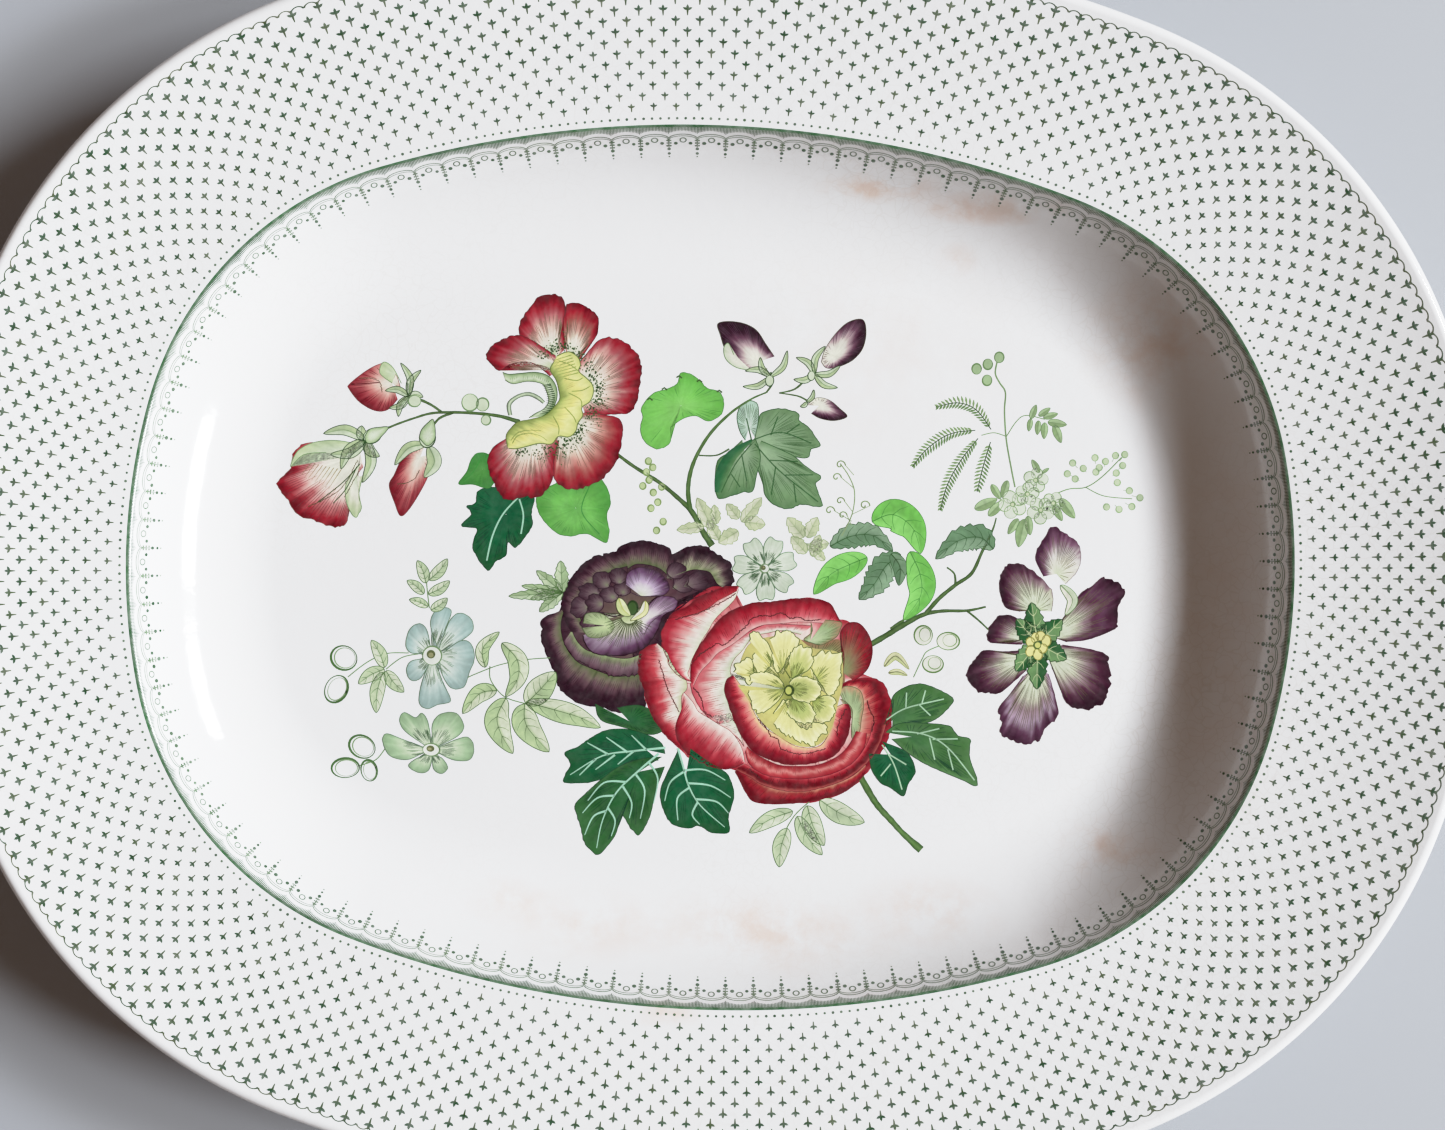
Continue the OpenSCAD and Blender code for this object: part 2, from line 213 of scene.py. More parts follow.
def on_border(u, w, lift=INK):
    """The point of the face at u along the verge and w outward over the rim, or inward down the wall."""
    if w >= 0:
        turn = RIM_INNER_SLOPE + w / RIM_RADIUS
        radius = RIM_RADIUS - GLAZE - lift
        s, z = RIM_C[0] + radius * math.sin(turn), RIM_C[1] - radius * math.cos(turn)
    else:
        crest = (VERGE_RADIUS + GLAZE) * (WALL_SLOPE - RIM_INNER_SLOPE)
        if w > -crest:
            turn = RIM_INNER_SLOPE - w / (VERGE_RADIUS + GLAZE)
            radius = VERGE_RADIUS + GLAZE + lift
            s, z = VERGE_C[0] - radius * math.sin(turn), VERGE_C[1] + radius * math.cos(turn)
        else:
            turn = WALL_SLOPE + (w + crest) / (WALL_RADIUS - GLAZE)
            radius = WALL_RADIUS - GLAZE - lift
            s, z = WALL_C[0] + radius * math.sin(turn), WALL_C[1] - radius * math.cos(turn)
    x, y = plan(u, s)
    return x, y, z + wobble(x, y)


# --- Making pieces -------------------------------------------------------------------------

def make_piece(name, verts, faces, material, nodes, tints=None):
    """A mesh piece from millimetres, riding on the platter and standing for its CAD nodes."""
    mesh = bpy.data.meshes.new(name)
    mesh.from_pydata([(x / 1000, y / 1000, z / 1000) for x, y, z in verts], [], faces)
    if tints:
        layer = mesh.color_attributes.new("tint", "FLOAT_COLOR", "POINT")
        layer.data.foreach_set("color", [c for t in tints for c in (*t, 1.0)])
    mesh.polygons.foreach_set("use_smooth", [True] * len(faces))
    mesh.materials.append(material)
    mesh.validate()
    piece = bpy.data.objects.new(name, mesh)
    bpy.context.scene.collection.objects.link(piece)
    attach(piece, "root")
    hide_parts(*nodes)
    return piece


AROUND = 900         # stations round the oval
STATIONS = [station(GIRTH * i / AROUND) for i in range(AROUND)]


def swept(loop, uneven=None):
    """Verts and quads of a profile loop of (s, z) swept round the oval."""
    verts, faces = [], []
    for x, y, r, dx, dy in STATIONS:
        for s, z in loop:
            px, py = x + (r + s) * dx, y + (r + s) * dy
            verts.append((px, py, z + (uneven(px, py) if uneven else 0)))
    n = len(loop)
    for i in range(AROUND):
        j = (i + 1) % AROUND
        for k in range(n - 1):
            faces.append((i * n + k, i * n + k + 1, j * n + k + 1, j * n + k))
    return verts, faces


def fill_rings(verts, faces, first, stride, z, up, rings, uneven=None):
    """Closes the middle: rings from the swept edge in to the centre, at height z."""
    edge = [verts[first + i * stride] for i in range(AROUND)]
    ring = [first + i * stride for i in range(AROUND)]
    for k in range(1, rings + 1):
        share = 1 - k / rings
        if k == rings:
            verts.append((0, 0, z + (uneven(0, 0) if uneven else 0)))
            for i in range(AROUND):
                tri = (ring[i], ring[(i + 1) % AROUND], len(verts) - 1)
                faces.append(tri if up else tri[::-1])
            return
        new = []
        for x, y, _ in edge:
            new.append(len(verts))
            px, py = x * share, y * share
            verts.append((px, py, z + (uneven(px, py) if uneven else 0)))
        for i in range(AROUND):
            j = (i + 1) % AROUND
            quad = (ring[i], ring[j], new[j], new[i])
            faces.append(quad if up else quad[::-1])
        ring = new


def clay_body(material):
    """The fired body: closed, a little inside its glaze, with the foot ring's bare rest face."""
    foot_out, foot_in = -FOOT_INSET, -FOOT_INSET - FOOT_WIDTH
    foot = [(foot_out, FOOT_BEVEL + 0.6), (foot_out, FOOT_BEVEL), (foot_out - 0.25, 0.25),
        (foot_out - FOOT_BEVEL, 0), (foot_in + FOOT_BEVEL, 0), (foot_in + 0.25, 0.25), (foot_in, FOOT_BEVEL),
        (foot_in, FOOT_HEIGHT), (FLOOR_EDGE_S, FOOT_HEIGHT)]
    loop = lifted(face_profile() + back_profile()[1:], -CLAY_INSET) + foot
    verts, faces = swept(loop)
    fill_rings(verts, faces, 0, len(loop), FLOOR_Z - CLAY_INSET, True, 4)
    fill_rings(verts, faces, len(loop) - 1, len(loop), FOOT_HEIGHT, False, 4)
    return make_piece("clay_body", verts, faces, material, ["body"])


def face_coat(material):
    """The glaze over the face, a closed coat from the lip's outermost line to the floor."""
    path = face_profile()
    loop = lifted(path, GLAZE) + lifted(path, 0)[::-1]
    verts, faces = swept(loop, wobble)
    fill_rings(verts, faces, 0, len(loop), FLOOR_Z + GLAZE, True, 40, wobble)
    fill_rings(verts, faces, len(loop) - 1, len(loop), FLOOR_Z, False, 4, wobble)
    return make_piece("face_coat", verts, faces, material, ["face_glaze"])


def back_coat(material):
    """The glaze over the back, down to the band wiped clean round the foot ring."""
    path = back_profile()
    outer = [p for p in lifted(path, GLAZE) if p[0] > -FOOT_INSET + GLAZE + 0.3]
    toe = [(-FOOT_INSET + GLAZE, outer[-1][1] - 0.05), (-FOOT_INSET + GLAZE, FOOT_WIPED + 0.25),
        (-FOOT_INSET + 0.2, FOOT_WIPED), (-FOOT_INSET, FOOT_WIPED)]
    loop = outer + toe + lifted(path, 0)[::-1]
    verts, faces = swept(loop + [loop[0]])
    return make_piece("back_coat", verts, faces, material, ["back_glaze"])


def recess_coat(material):
    """The glaze inside the foot ring."""
    inner = -FOOT_INSET - FOOT_WIDTH
    loop = [(FLOOR_EDGE_S, FOOT_HEIGHT), (inner, FOOT_HEIGHT), (inner, FOOT_WIPED), (inner - 0.2, FOOT_WIPED),
        (inner - GLAZE, FOOT_WIPED + 0.25), (inner - GLAZE, FOOT_HEIGHT - GLAZE - 0.5),
        (inner - GLAZE - 0.5, FOOT_HEIGHT - GLAZE), (FLOOR_EDGE_S, FOOT_HEIGHT - GLAZE)]
    verts, faces = swept(loop)
    fill_rings(verts, faces, 0, len(loop), FOOT_HEIGHT, True, 4)
    fill_rings(verts, faces, len(loop) - 1, len(loop), FOOT_HEIGHT - GLAZE, False, 20)
    return make_piece("recess_coat", verts, faces, material, ["recess_glaze"])


# --- Materials -----------------------------------------------------------------------------

def new_material(name):
    """A material with its node tree and its shader."""
    material = bpy.data.materials.new(name)
    material.use_nodes = True
    tree = material.node_tree
    return material, tree, tree.nodes["Principled BSDF"]


def add(tree, kind, inputs=None, **settings):
    """A new node, with its inputs set to values or linked to other nodes' outputs."""
    node = tree.nodes.new(kind)
    for key, value in settings.items():
        setattr(node, key, value)
    for key, value in (inputs or {}).items():
        socket = node.inputs[key]
        if isinstance(value, bpy.types.NodeSocket):
            tree.links.new(value, socket)
        else:
            socket.default_value = value
    return node


def gloss_bump(tree, shader):
    """The fine orange peel that a glaze keeps."""
    place = add(tree, "ShaderNodeTexCoord").outputs["Object"]
    peel = add(tree, "ShaderNodeTexNoise", {"Vector": place, "Scale": 260.0, "Detail": 2.0})
    bump = add(tree, "ShaderNodeBump", {"Height": peel.outputs["Fac"], "Strength": 0.12, "Distance": 0.0004})
    tree.links.new(bump.outputs["Normal"], shader.inputs["Normal"])
    return place


def mixed(tree, factor, first, second):
    """A colour part-way between two, each a colour or another node's output."""
    mix = add(tree, "ShaderNodeMix", {"Factor": factor}, data_type="RGBA")
    for socket, value in ((mix.inputs[6], first), (mix.inputs[7], second)):
        if isinstance(value, tuple):
            socket.default_value = value
        else:
            tree.links.new(value, socket)
    return mix.outputs[2]


CLOUD_DARK, CLOUD_LIGHT = (0.81, 0.805, 0.82, 1), (0.85, 0.845, 0.86, 1)
CRAZE_BROWN, STAIN_AND_SHADE_BROWN = (0.56, 0.50, 0.44, 1), (0.68, 0.46, 0.34, 1)
# the long faint entry at (160, -10) is painted shade, a brown band down the whole right wall; the others are
# stains
STAINS_AND_SHADE = (           # (x, y, reach along x, reach along y, strength)
    (46, 121, 22, 5, 1.3), (82, 116, 26, 5.5, 1.3), (73, 101, 8, 6, 0.6), (-35, -114, 30, 12, 0.8),
    (22, -114, 46, 14, 1.0), (74, -105, 26, 12, 0.9), (-10, -137, 16, 5, 1.0), (160, -10, 22, 90, 0.3),
    (136, 78, 26, 24, 0.8), (-60, -108, 14, 8, 0.8), (130, -84, 18, 12, 1.0), (45, 70, 60, 40, 0.3))


def ranged(tree, value, low, high, first, last):
    """A value's share of the way from low to high, as a share from first to last."""
    return add(tree, "ShaderNodeMapRange", {"Value": value, "From Min": low, "From Max": high,
        "To Min": first, "To Max": last}).outputs["Result"]


def product(tree, a, b, **settings):
    return add(tree, "ShaderNodeMath", {0: a, 1: b}, operation="MULTIPLY", **settings).outputs["Value"]


def glaze_material():
    """White glaze: a little cloudy, crazed in places, stained along the wall, with painted shade browning the
    right wall.
    """
    material, tree, shader = new_material("glaze")
    shader.inputs["Roughness"].default_value = 0.1
    shader.inputs["IOR"].default_value = 1.5
    place = gloss_bump(tree, shader)
    cloud = add(tree, "ShaderNodeTexNoise", {"Vector": place, "Scale": 14.0, "Detail": 4.0})
    colour = mixed(tree, cloud.outputs["Fac"], CLOUD_DARK, CLOUD_LIGHT)
    # crazing: a net of hairlines, faint and only in places
    warp = add(tree, "ShaderNodeTexNoise", {"Vector": place, "Scale": 60.0, "Detail": 3.0})
    moved = add(tree, "ShaderNodeMix", {"Factor": 0.012}, data_type="VECTOR")
    tree.links.new(place, moved.inputs[4])
    tree.links.new(warp.outputs["Color"], moved.inputs[5])
    net = add(tree, "ShaderNodeTexVoronoi", {"Vector": moved.outputs[1], "Scale": 290.0},
        feature="DISTANCE_TO_EDGE")
    where = add(tree, "ShaderNodeTexNoise", {"Vector": place, "Scale": 9.0, "Detail": 2.0})
    fade = ranged(tree, where.outputs["Fac"], 0.46, 0.7, 0.0, 0.24)
    hair = ranged(tree, net.outputs["Distance"], 0.0, 0.055, 1.0, 0.0)
    colour = mixed(tree, product(tree, hair, fade), colour, CRAZE_BROWN)
    # tea-coloured stains that have crept under the glaze of the wall, and painted shade: the long faint patch
    # at (160, -10) browns the whole right wall
    total = None
    for x, y, rx, ry, strength in STAINS_AND_SHADE:
        spot = add(tree, "ShaderNodeMapping", {"Vector": place, "Location": (x / 1000, y / 1000, 0),
            "Scale": (rx / 1000, ry / 1000, 10)}, vector_type="TEXTURE")
        fall = add(tree, "ShaderNodeTexGradient", {"Vector": spot.outputs["Vector"]},
            gradient_type="SPHERICAL")
        part = product(tree, fall.outputs["Fac"], strength)
        if total is None:
            total = part
        else:
            total = add(tree, "ShaderNodeMath", {0: total, 1: part}, operation="ADD").outputs["Value"]
    creep = add(tree, "ShaderNodeTexNoise", {"Vector": place, "Scale": 70.0, "Detail": 6.0,
        "Roughness": 0.65})
    stain_and_shade = product(tree, total, ranged(tree, creep.outputs["Fac"], 0.38, 0.66, 0.0, 1.5), use_clamp=True)
    colour = mixed(tree, product(tree, stain_and_shade, 0.5), colour, STAIN_AND_SHADE_BROWN)
    tree.links.new(colour, shader.inputs["Base Color"])
    return material


def clay_material():
    """The bare fired clay of the foot ring."""
    material, tree, shader = new_material("clay")
    shader.inputs["Roughness"].default_value = 0.85
    place = add(tree, "ShaderNodeTexCoord").outputs["Object"]
    grain = add(tree, "ShaderNodeTexNoise", {"Vector": place, "Scale": 900.0, "Detail": 5.0})
    ramp = add(tree, "ShaderNodeValToRGB", {"Fac": grain.outputs["Fac"]})
    ramp.color_ramp.elements[0].color = (0.42, 0.33, 0.23, 1)
    ramp.color_ramp.elements[1].color = (0.74, 0.66, 0.53, 1)
    tree.links.new(ramp.outputs["Color"], shader.inputs["Base Color"])
    bump = add(tree, "ShaderNodeBump", {"Height": grain.outputs["Fac"], "Strength": 0.4, "Distance": 0.0005})
    tree.links.new(bump.outputs["Normal"], shader.inputs["Normal"])
    return material


def ink_material(name, patchiness=0.22):
    """Ink or painted colour under the gloss: the mesh's tint, a little uneven."""
    material, tree, shader = new_material(name)
    shader.inputs["Roughness"].default_value = 0.12
    shader.inputs["IOR"].default_value = 1.5
    place = gloss_bump(tree, shader)
    tint = add(tree, "ShaderNodeVertexColor", layer_name="tint")
    patch = add(tree, "ShaderNodeTexNoise", {"Vector": place, "Scale": 420.0, "Detail": 3.0})
    share = ranged(tree, patch.outputs["Fac"], 0.35, 0.75, 0.0, patchiness)
    colour = mixed(tree, share, tint.outputs["Color"], (0.72, 0.72, 0.70, 1))
    wash = add(tree, "ShaderNodeTexNoise", {"Vector": place, "Scale": 150.0, "Detail": 5.0, "Roughness": 0.6})
    depth = ranged(tree, wash.outputs["Fac"], 0.3, 0.7, 0.82, 1.08)
    scaled = add(tree, "ShaderNodeVectorMath", {0: colour, "Scale": depth}, operation="SCALE")
    tree.links.new(scaled.outputs["Vector"], shader.inputs["Base Color"])
    return material


# --- Drawing -------------------------------------------------------------------------------

class Drawing:
    """Flat shapes laid on the face: verts, faces and a tint for each vert."""

    def __init__(self, place=on_floor):
        self.place, self.verts, self.faces, self.tints = place, [], [], []

    def grid(self, rows, tints, lift=0.0):
        """A quad grid from rows of plan points, with a tint for each point."""
        first, width = len(self.verts), len(rows[0])
        for row, row_tints in zip(rows, tints):
            for (x, y), tint in zip(row, row_tints):
                self.verts.append(self.place(x, y, INK + lift))
                self.tints.append(tint)
        for i in range(len(rows) - 1):
            for j in range(width - 1):
                a = first + i * width + j
                self.faces.append((a, a + 1, a + width + 1, a + width))

    def fan(self, centre, ring, tint, lift=0.0):
        """A small flat shape: a fan of triangles, turned to face up."""
        first = len(self.verts)
        for x, y in [centre] + ring:
            self.verts.append(self.place(x, y, INK + lift))
            self.tints.append(tint)
        n = len(ring)
        for i in range(n):
            self.faces.append((first, first + 1 + i, first + 1 + (i + 1) % n))

    def stroke(self, points, widths, tint, lift=0.01):
        """A drawn line through points, with a width at each (or one width)."""
        if not isinstance(widths, (list, tuple)):
            widths = [widths] * len(points)
        left, right = [], []
        last = len(points) - 1
        for i, (x, y) in enumerate(points):
            (ax, ay), (bx, by) = points[max(i - 1, 0)], points[min(i + 1, last)]
            d = math.hypot(bx - ax, by - ay) or 1
            nx, ny = -(by - ay) / d * widths[i] / 2, (bx - ax) / d * widths[i] / 2
            left.append((x + nx, y + ny))
            right.append((x - nx, y - ny))
        self.grid([right, left], [[tint] * len(points)] * 2, lift)

    def piece(self, name, material, slot, nodes):
        for i, face in enumerate(self.faces):
            (ax, ay, _), (bx, by, _), (cx, cy, _) = (self.verts[k] for k in (face[0], face[1], face[2]))
            if (bx - ax) * (cy - ay) < (by - ay) * (cx - ax):
                self.faces[i] = face[::-1]
        return make_piece(name, self.verts, self.faces, material, nodes, self.tints)


def shade(tint, factor):
    """A tint made darker or lighter."""
    return tuple(max(0, min(1, c * factor)) for c in tint)


def blend(a, b, share):
    """A tint part-way between two."""
    share = max(0, min(1, share))
    return tuple(p + (q - p) * share for p, q in zip(a, b))


def pts(*numbers):
    """Points from a plain run of x, y, x, y ..."""
    return list(zip(numbers[::2], numbers[1::2]))


def circle(x, y, radius, count=12):
    """Points round a circle."""
    return [(x + radius * math.cos(2 * math.pi * i / count), y + radius * math.sin(2 * math.pi * i / count))
            for i in range(count)]


GREEN_INK = (0.030, 0.085, 0.040)
OLIVE_INK = (0.115, 0.120, 0.045)
PALE_INK = (0.26, 0.33, 0.21)


def per_turn(pitch):
    """The nearest whole number of repeats round the verge, and their exact spacing."""
    count = round(GIRTH / pitch)
    return count, GIRTH / count


# --- The border print ----------------------------------------------------------------------

def sprig_columns():
    """Distances along the verge of the columns of sprigs: an even number of them on each arc."""
    columns, passed = [], 0.0
    for k, (_, _, r, _, span) in enumerate(ARCS):
        count = (15, 19, 32, 19)[k % 4]
        columns += [passed + r * span * (i + 0.5) / count for i in range(count)]
        passed += r * span
    return columns


COLUMNS = sprig_columns()
SPRIG_ROWS = 15
FIRST_SPRIG, LAST_SPRIG = 5.4, 49.9


def between_columns(i, share):
    """The distance along the verge a share of the way from one column to the next."""
    here, after = COLUMNS[i], COLUMNS[(i + 1) % len(COLUMNS)]
    if after < here:
        after += GIRTH
    return here + (after - here) * share


def draw_sprig(drawing, u, w, size, tint):
    """Three leaves that point outward and a stem that points inward."""
    radius = station(u)[2]
    squeeze = radius / (radius + w)      # keeps a motif's own width as the columns fan out

    def at(across, out):
        return u + across * squeeze, w + out

    length = 1.5 * size
    for turn, width in ((0, 0.74 * size), (-64, 0.66 * size), (64, 0.66 * size)):
        c, s = math.cos(math.radians(turn)), math.sin(math.radians(turn))
        outline = pts(0.0, -0.15, 0.5, 0.3, 0.48, 0.62, 0, 1, -0.48, 0.62, -0.5, 0.3)
        ring = []
        for across, along in outline:
            across, along = across * width, along * length
            ring.append(at(across * c + along * s, along * c - across * s))
        drawing.fan(at(length * 0.5 * s, length * 0.5 * c), ring[::-1], tint)
    stalk = [at(-0.34 * size, 0.3), at(0.34 * size, 0.3), at(0.14, -length), at(-0.14, -length)]
    drawing.fan(at(0, -0.4 * size), stalk[::-1], blend(tint, OLIVE_INK, 0.35))


def sprigs(material):
    """Staggered rows of sprigs over the rim, slightly larger toward the lip."""
    drawing = Drawing(on_border)
    for row in range(SPRIG_ROWS):
        share = row / (SPRIG_ROWS - 1)
        w = FIRST_SPRIG + (LAST_SPRIG - FIRST_SPRIG) * share
        for column in range(len(COLUMNS)):
            u = between_columns(column, 0.5 * (row % 2)) + random.uniform(-0.1, 0.1)
            strength = random.random()
            tint = blend(GREEN_INK, blend(OLIVE_INK, PALE_INK, 0.3), 0.5 * strength ** 3)
            draw_sprig(drawing, u, w + random.uniform(-0.08, 0.08), 0.86 + 0.36 * share, tint)
    return drawing.piece("rim_sprigs", material, "green_print", ["sprig_print"])


BEAD_COUNT, BEAD_PITCH = per_turn(2.55)
BEAD_OFFSET, BEAD_RADIUS = 1.9, 0.42
DOT_SPREAD = (0.85, 1.1)  # how far a printed dot's radius varies


def beads(material):
    """The row of dots between the verge line and the sprigs."""
    drawing = Drawing(on_border)
    for i in range(BEAD_COUNT):
        u = i * BEAD_PITCH
        tint = blend(GREEN_INK, PALE_INK, random.uniform(0.05, 0.35))
        drawing.fan((u, BEAD_OFFSET), circle(u, BEAD_OFFSET, BEAD_RADIUS * random.uniform(*DOT_SPREAD), 10),
            tint)
    return drawing.piece("bead_row", material, "green_print", ["bead_print"])


SCALLOP_COUNT, SCALLOP_PITCH = per_turn(8.9)
COMB_COUNT, COMB_PITCH = per_turn(SCALLOP_PITCH / 20)


def scallop(u):
    """0 in the middle of a scallop and 1 at its cusps, as a round arch."""
    t = 2 * ((u / SCALLOP_PITCH) % 1) - 1
    return 1 - math.sqrt(max(0.0, 1 - 0.92 * t * t))


def verge_line(material):
    """The dark line on the verge, with the comb of short hatches that hangs from it."""
    drawing = Drawing(on_border)
    for i in range(COMB_COUNT):
        u = i * COMB_PITCH
        tint = blend(GREEN_INK, PALE_INK, 0.2 + 0.25 * noise.noise(Vector((u / 30, 0, 0))))
        reach = 1.6 + 2.0 * scallop(u)
        tooth = [(u + 0.015 * k, -0.4 - reach * k / 5) for k in range(6)]
        drawing.stroke(tooth, [0.34, 0.32, 0.3, 0.26, 0.2, 0.1], tint)
    line, tints = [], []
    for i in range(AROUND + 1):
        u = GIRTH * i / AROUND
        line.append(u)
        tints.append(blend(GREEN_INK, (0.05, 0.19, 0.07), 0.5 + 0.5 * noise.noise(Vector((u / 25, 7, 0)))))
    rows = [[(u, w) for u in line] for w in (-0.75, -0.35, 0.05)]
    drawing.grid(rows, [tints] * 3, 0.008)
    return drawing.piece("verge_line", material, "green_print", ["verge_line_print"])


def lace(material):
    """Scalloped double arcs with a ring and two dots in each, and a chain of dots at every cusp."""
    drawing = Drawing(on_border)
    p = SCALLOP_PITCH
    for i in range(SCALLOP_COUNT):
        u0 = i * p
        faint = blend(GREEN_INK, PALE_INK, 0.42 + 0.3 * noise.noise(Vector((u0 / 60, 3, 0))))
        firm = blend(GREEN_INK, PALE_INK, 0.14 + 0.2 * noise.noise(Vector((u0 / 60, 9, 0))))
        for top, rise, width in ((-3.5, 2.3, 0.3), (-4.3, 2.0, 0.22)):
            line = [(u0 + p * (k / 12), top - rise * scallop(u0 + p * (k / 12))) for k in range(13)]
            drawing.stroke(line, width, faint)
        middle = u0 + p / 2
        ring = circle(middle, -6.1, 0.95, 14)
        drawing.stroke(ring + ring[:2], 0.36, blend(faint, firm, 0.4))
        dots = [(middle - 2.3, -7.5, 0.64, firm), (middle + 2.3, -7.5, 0.64, firm), (u0, -9.8, 0.64, firm),
            (u0, -11.6, 0.46, firm), (u0, -12.8, 0.26, faint)]
        for w in (-6.3, -7.4, -8.5):
            dots += [(u0 - 0.5, w, 0.34, faint), (u0 + 0.5, w, 0.34, faint)]
        for u, w, r, tint in dots:
            drawing.fan((u, w), circle(u, w, r * random.uniform(*DOT_SPREAD), 9), tint)
        drawing.stroke([(u0, -5.4), (u0, -7.4), (u0, -9.2)], [0.7, 0.3, 0.2], faint)
    return drawing.piece("wall_lace", material, "pale_print", ["lace_print"])


def edge_line(material):
    """The thin scalloped line inside the lip, one scallop to a sprig, with a small dash in each."""
    drawing = Drawing(on_border)
    top = RIM_RUN - 0.3
    for i in range(len(COLUMNS)):
        for half in (0, 1):
            tint = blend(OLIVE_INK, GREEN_INK, 0.3 + random.random() * 0.6)
            shares = [0.5 * half + k / 16 for k in range(9)]
            line = [(between_columns(i, share), top - 1.0 * (1 - math.sin(math.pi * k / 8) ** 0.7))
                    for k, share in enumerate(shares)]
            drawing.stroke(line, [0.5, 0.36, 0.3, 0.3, 0.3, 0.3, 0.3, 0.36, 0.5], tint)
    return drawing.piece("edge_line", material, "line_print", ["edge_line_print"])


# --- The bouquet: drawing tools ------------------------------------------------------------

def ink(r, g, b):
    """A screen colour, 0 to 255, as the linear tint that materials use."""
    return tuple(c / 12.92 if c <= 0.04045 else ((c + 0.055) / 1.055) ** 2.4 for c in (r / 255, g / 255,
        b / 255))


CRIMSON, DEEP_CRIMSON = ink(152, 24, 42), ink(100, 8, 24)
CREAM, PALE_GREEN, LEAF_WASH = ink(222, 220, 204), ink(176, 190, 152), ink(196, 208, 182)
YELLOW, OCHRE = ink(226, 218, 138), ink(176, 178, 96)
BLACK_PURPLE, PURPLE, LILAC = ink(38, 12, 28), ink(92, 54, 78), ink(168, 146, 164)
BRIGHT_GREEN, GRASS_GREEN = ink(114, 184, 86), ink(52, 122, 56)
DEEP_GREEN, DARK_GREEN = ink(16, 88, 52), ink(36, 84, 42)
LINE_GREEN, FAINT_GREEN = ink(44, 76, 38), ink(112, 140, 96)
VEIN_LIGHT = ink(160, 204, 180)


def smooth(points, steps=6):
    """A curve through given points (Catmull-Rom)."""
    last, out = len(points) - 1, []
    for i in range(last):
        quad = [points[min(max(i + k, 0), last)] for k in (-1, 0, 1, 2)]
        for k in range(steps):
            t = k / steps
            out.append(tuple(0.5 * (2 * b + (c - a) * t + (2 * a - 5 * b + 4 * c - d) * t * t
                                    + (3 * b - 3 * c + d - a) * t ** 3) for a, b, c, d in zip(*quad)))
    return out + [points[-1]]


def ramp(stops, share):
    """A tint part-way through evenly spaced stops."""
    share = max(0.0, min(0.999, share)) * (len(stops) - 1)
    i = int(share)
    return blend(stops[i], stops[i + 1], share - i)


def rough(x, y, seed, scale=1.0):
    """Smooth unevenness from -1 to 1, the same for the same seed."""
    return noise.noise(Vector((x * scale, y * scale, seed * 7.3)))


def toward(p, q, share):
    """The point a share of the way from p to q."""
    return p[0] + (q[0] - p[0]) * share, p[1] + (q[1] - p[1]) * share


def petal(drawing, root, outline, stops, dark=None, bias=0.6, order=0, seed=1, line=None, width=0.22, hatch=0,
        hatch_tint=None, ruffle=0.0, reach=(0.45, 0.97)):
    """A painted shape spread from its root to an outline, shaded through stops from root to rim.

    dark is the direction, in degrees, that the rim's colour gathers in; hatch draws fine engraved
    lines in from the rim, ruffle frays the outline, and line draws round it.
    """
    ring = smooth(outline)
    if ruffle:
        ring = [toward(root, p, 1 + ruffle * rough(p[0], p[1], seed + 3, 0.9)) for p in ring]
    size = max(math.dist(root, p) for p in ring)
    steps = max(6, min(26, int(size / 0.8)))
    rows, tints = [], []
    for i in range(steps + 1):
        r = max(0.01, i / steps)
        row = [toward(root, p, r) for p in ring]
        shades = []
        for x, y in row:
            pull = 1.0
            if dark is not None:
                facing = math.cos(math.atan2(y - root[1], x - root[0]) - math.radians(dark))
                pull = 1 - bias * (0.5 - 0.5 * facing)
            turn = math.atan2(y - root[1], x - root[0])
            streak = 0.16 * rough(turn * 14, r * 0.9, seed) + 0.05 * rough(x, y, seed, 0.5)
            tint = ramp(stops, r * pull + streak * r)
            light = 1 + 0.14 * rough(turn * 30, r * 2, seed + 5) + 0.08 * rough(x, y, seed + 5, 1.7)
            shades.append(shade(tint, light))
        rows.append(row)
        tints.append(shades)
    drawing.grid(rows, tints, order * LAYER)
    pick = random.Random(seed)
    for _ in range(hatch):
        j = pick.randrange(1, len(ring) - 1)
        start, end = pick.uniform(reach[0], reach[0] + 0.25), pick.uniform(reach[1] - 0.12, reach[1])
        line_points = [toward(root, ring[j], start + (end - start) * k / 3) for k in range(4)]
        drawing.stroke(line_points, [0.05, 0.13, 0.16, 0.1], hatch_tint or shade(stops[-1], 0.6),
            order * LAYER + HATCH_LIFT)
    if line:
        drawing.stroke(ring, width, line, order * LAYER + OUTLINE_LIFT)


def even(points, count):
    """Points spaced evenly along the curve through some given ones."""
    curve = smooth(points)
    runs = [0.0]
    for p, q in zip(curve, curve[1:]):
        runs.append(runs[-1] + math.dist(p, q))
    out, i = [], 0
    for k in range(count):
        want = runs[-1] * k / (count - 1)
        while i < len(runs) - 2 and runs[i + 1] < want:
            i += 1
        out.append(toward(curve[i], curve[i + 1], (want - runs[i]) / ((runs[i + 1] - runs[i]) or 1)))
    return out


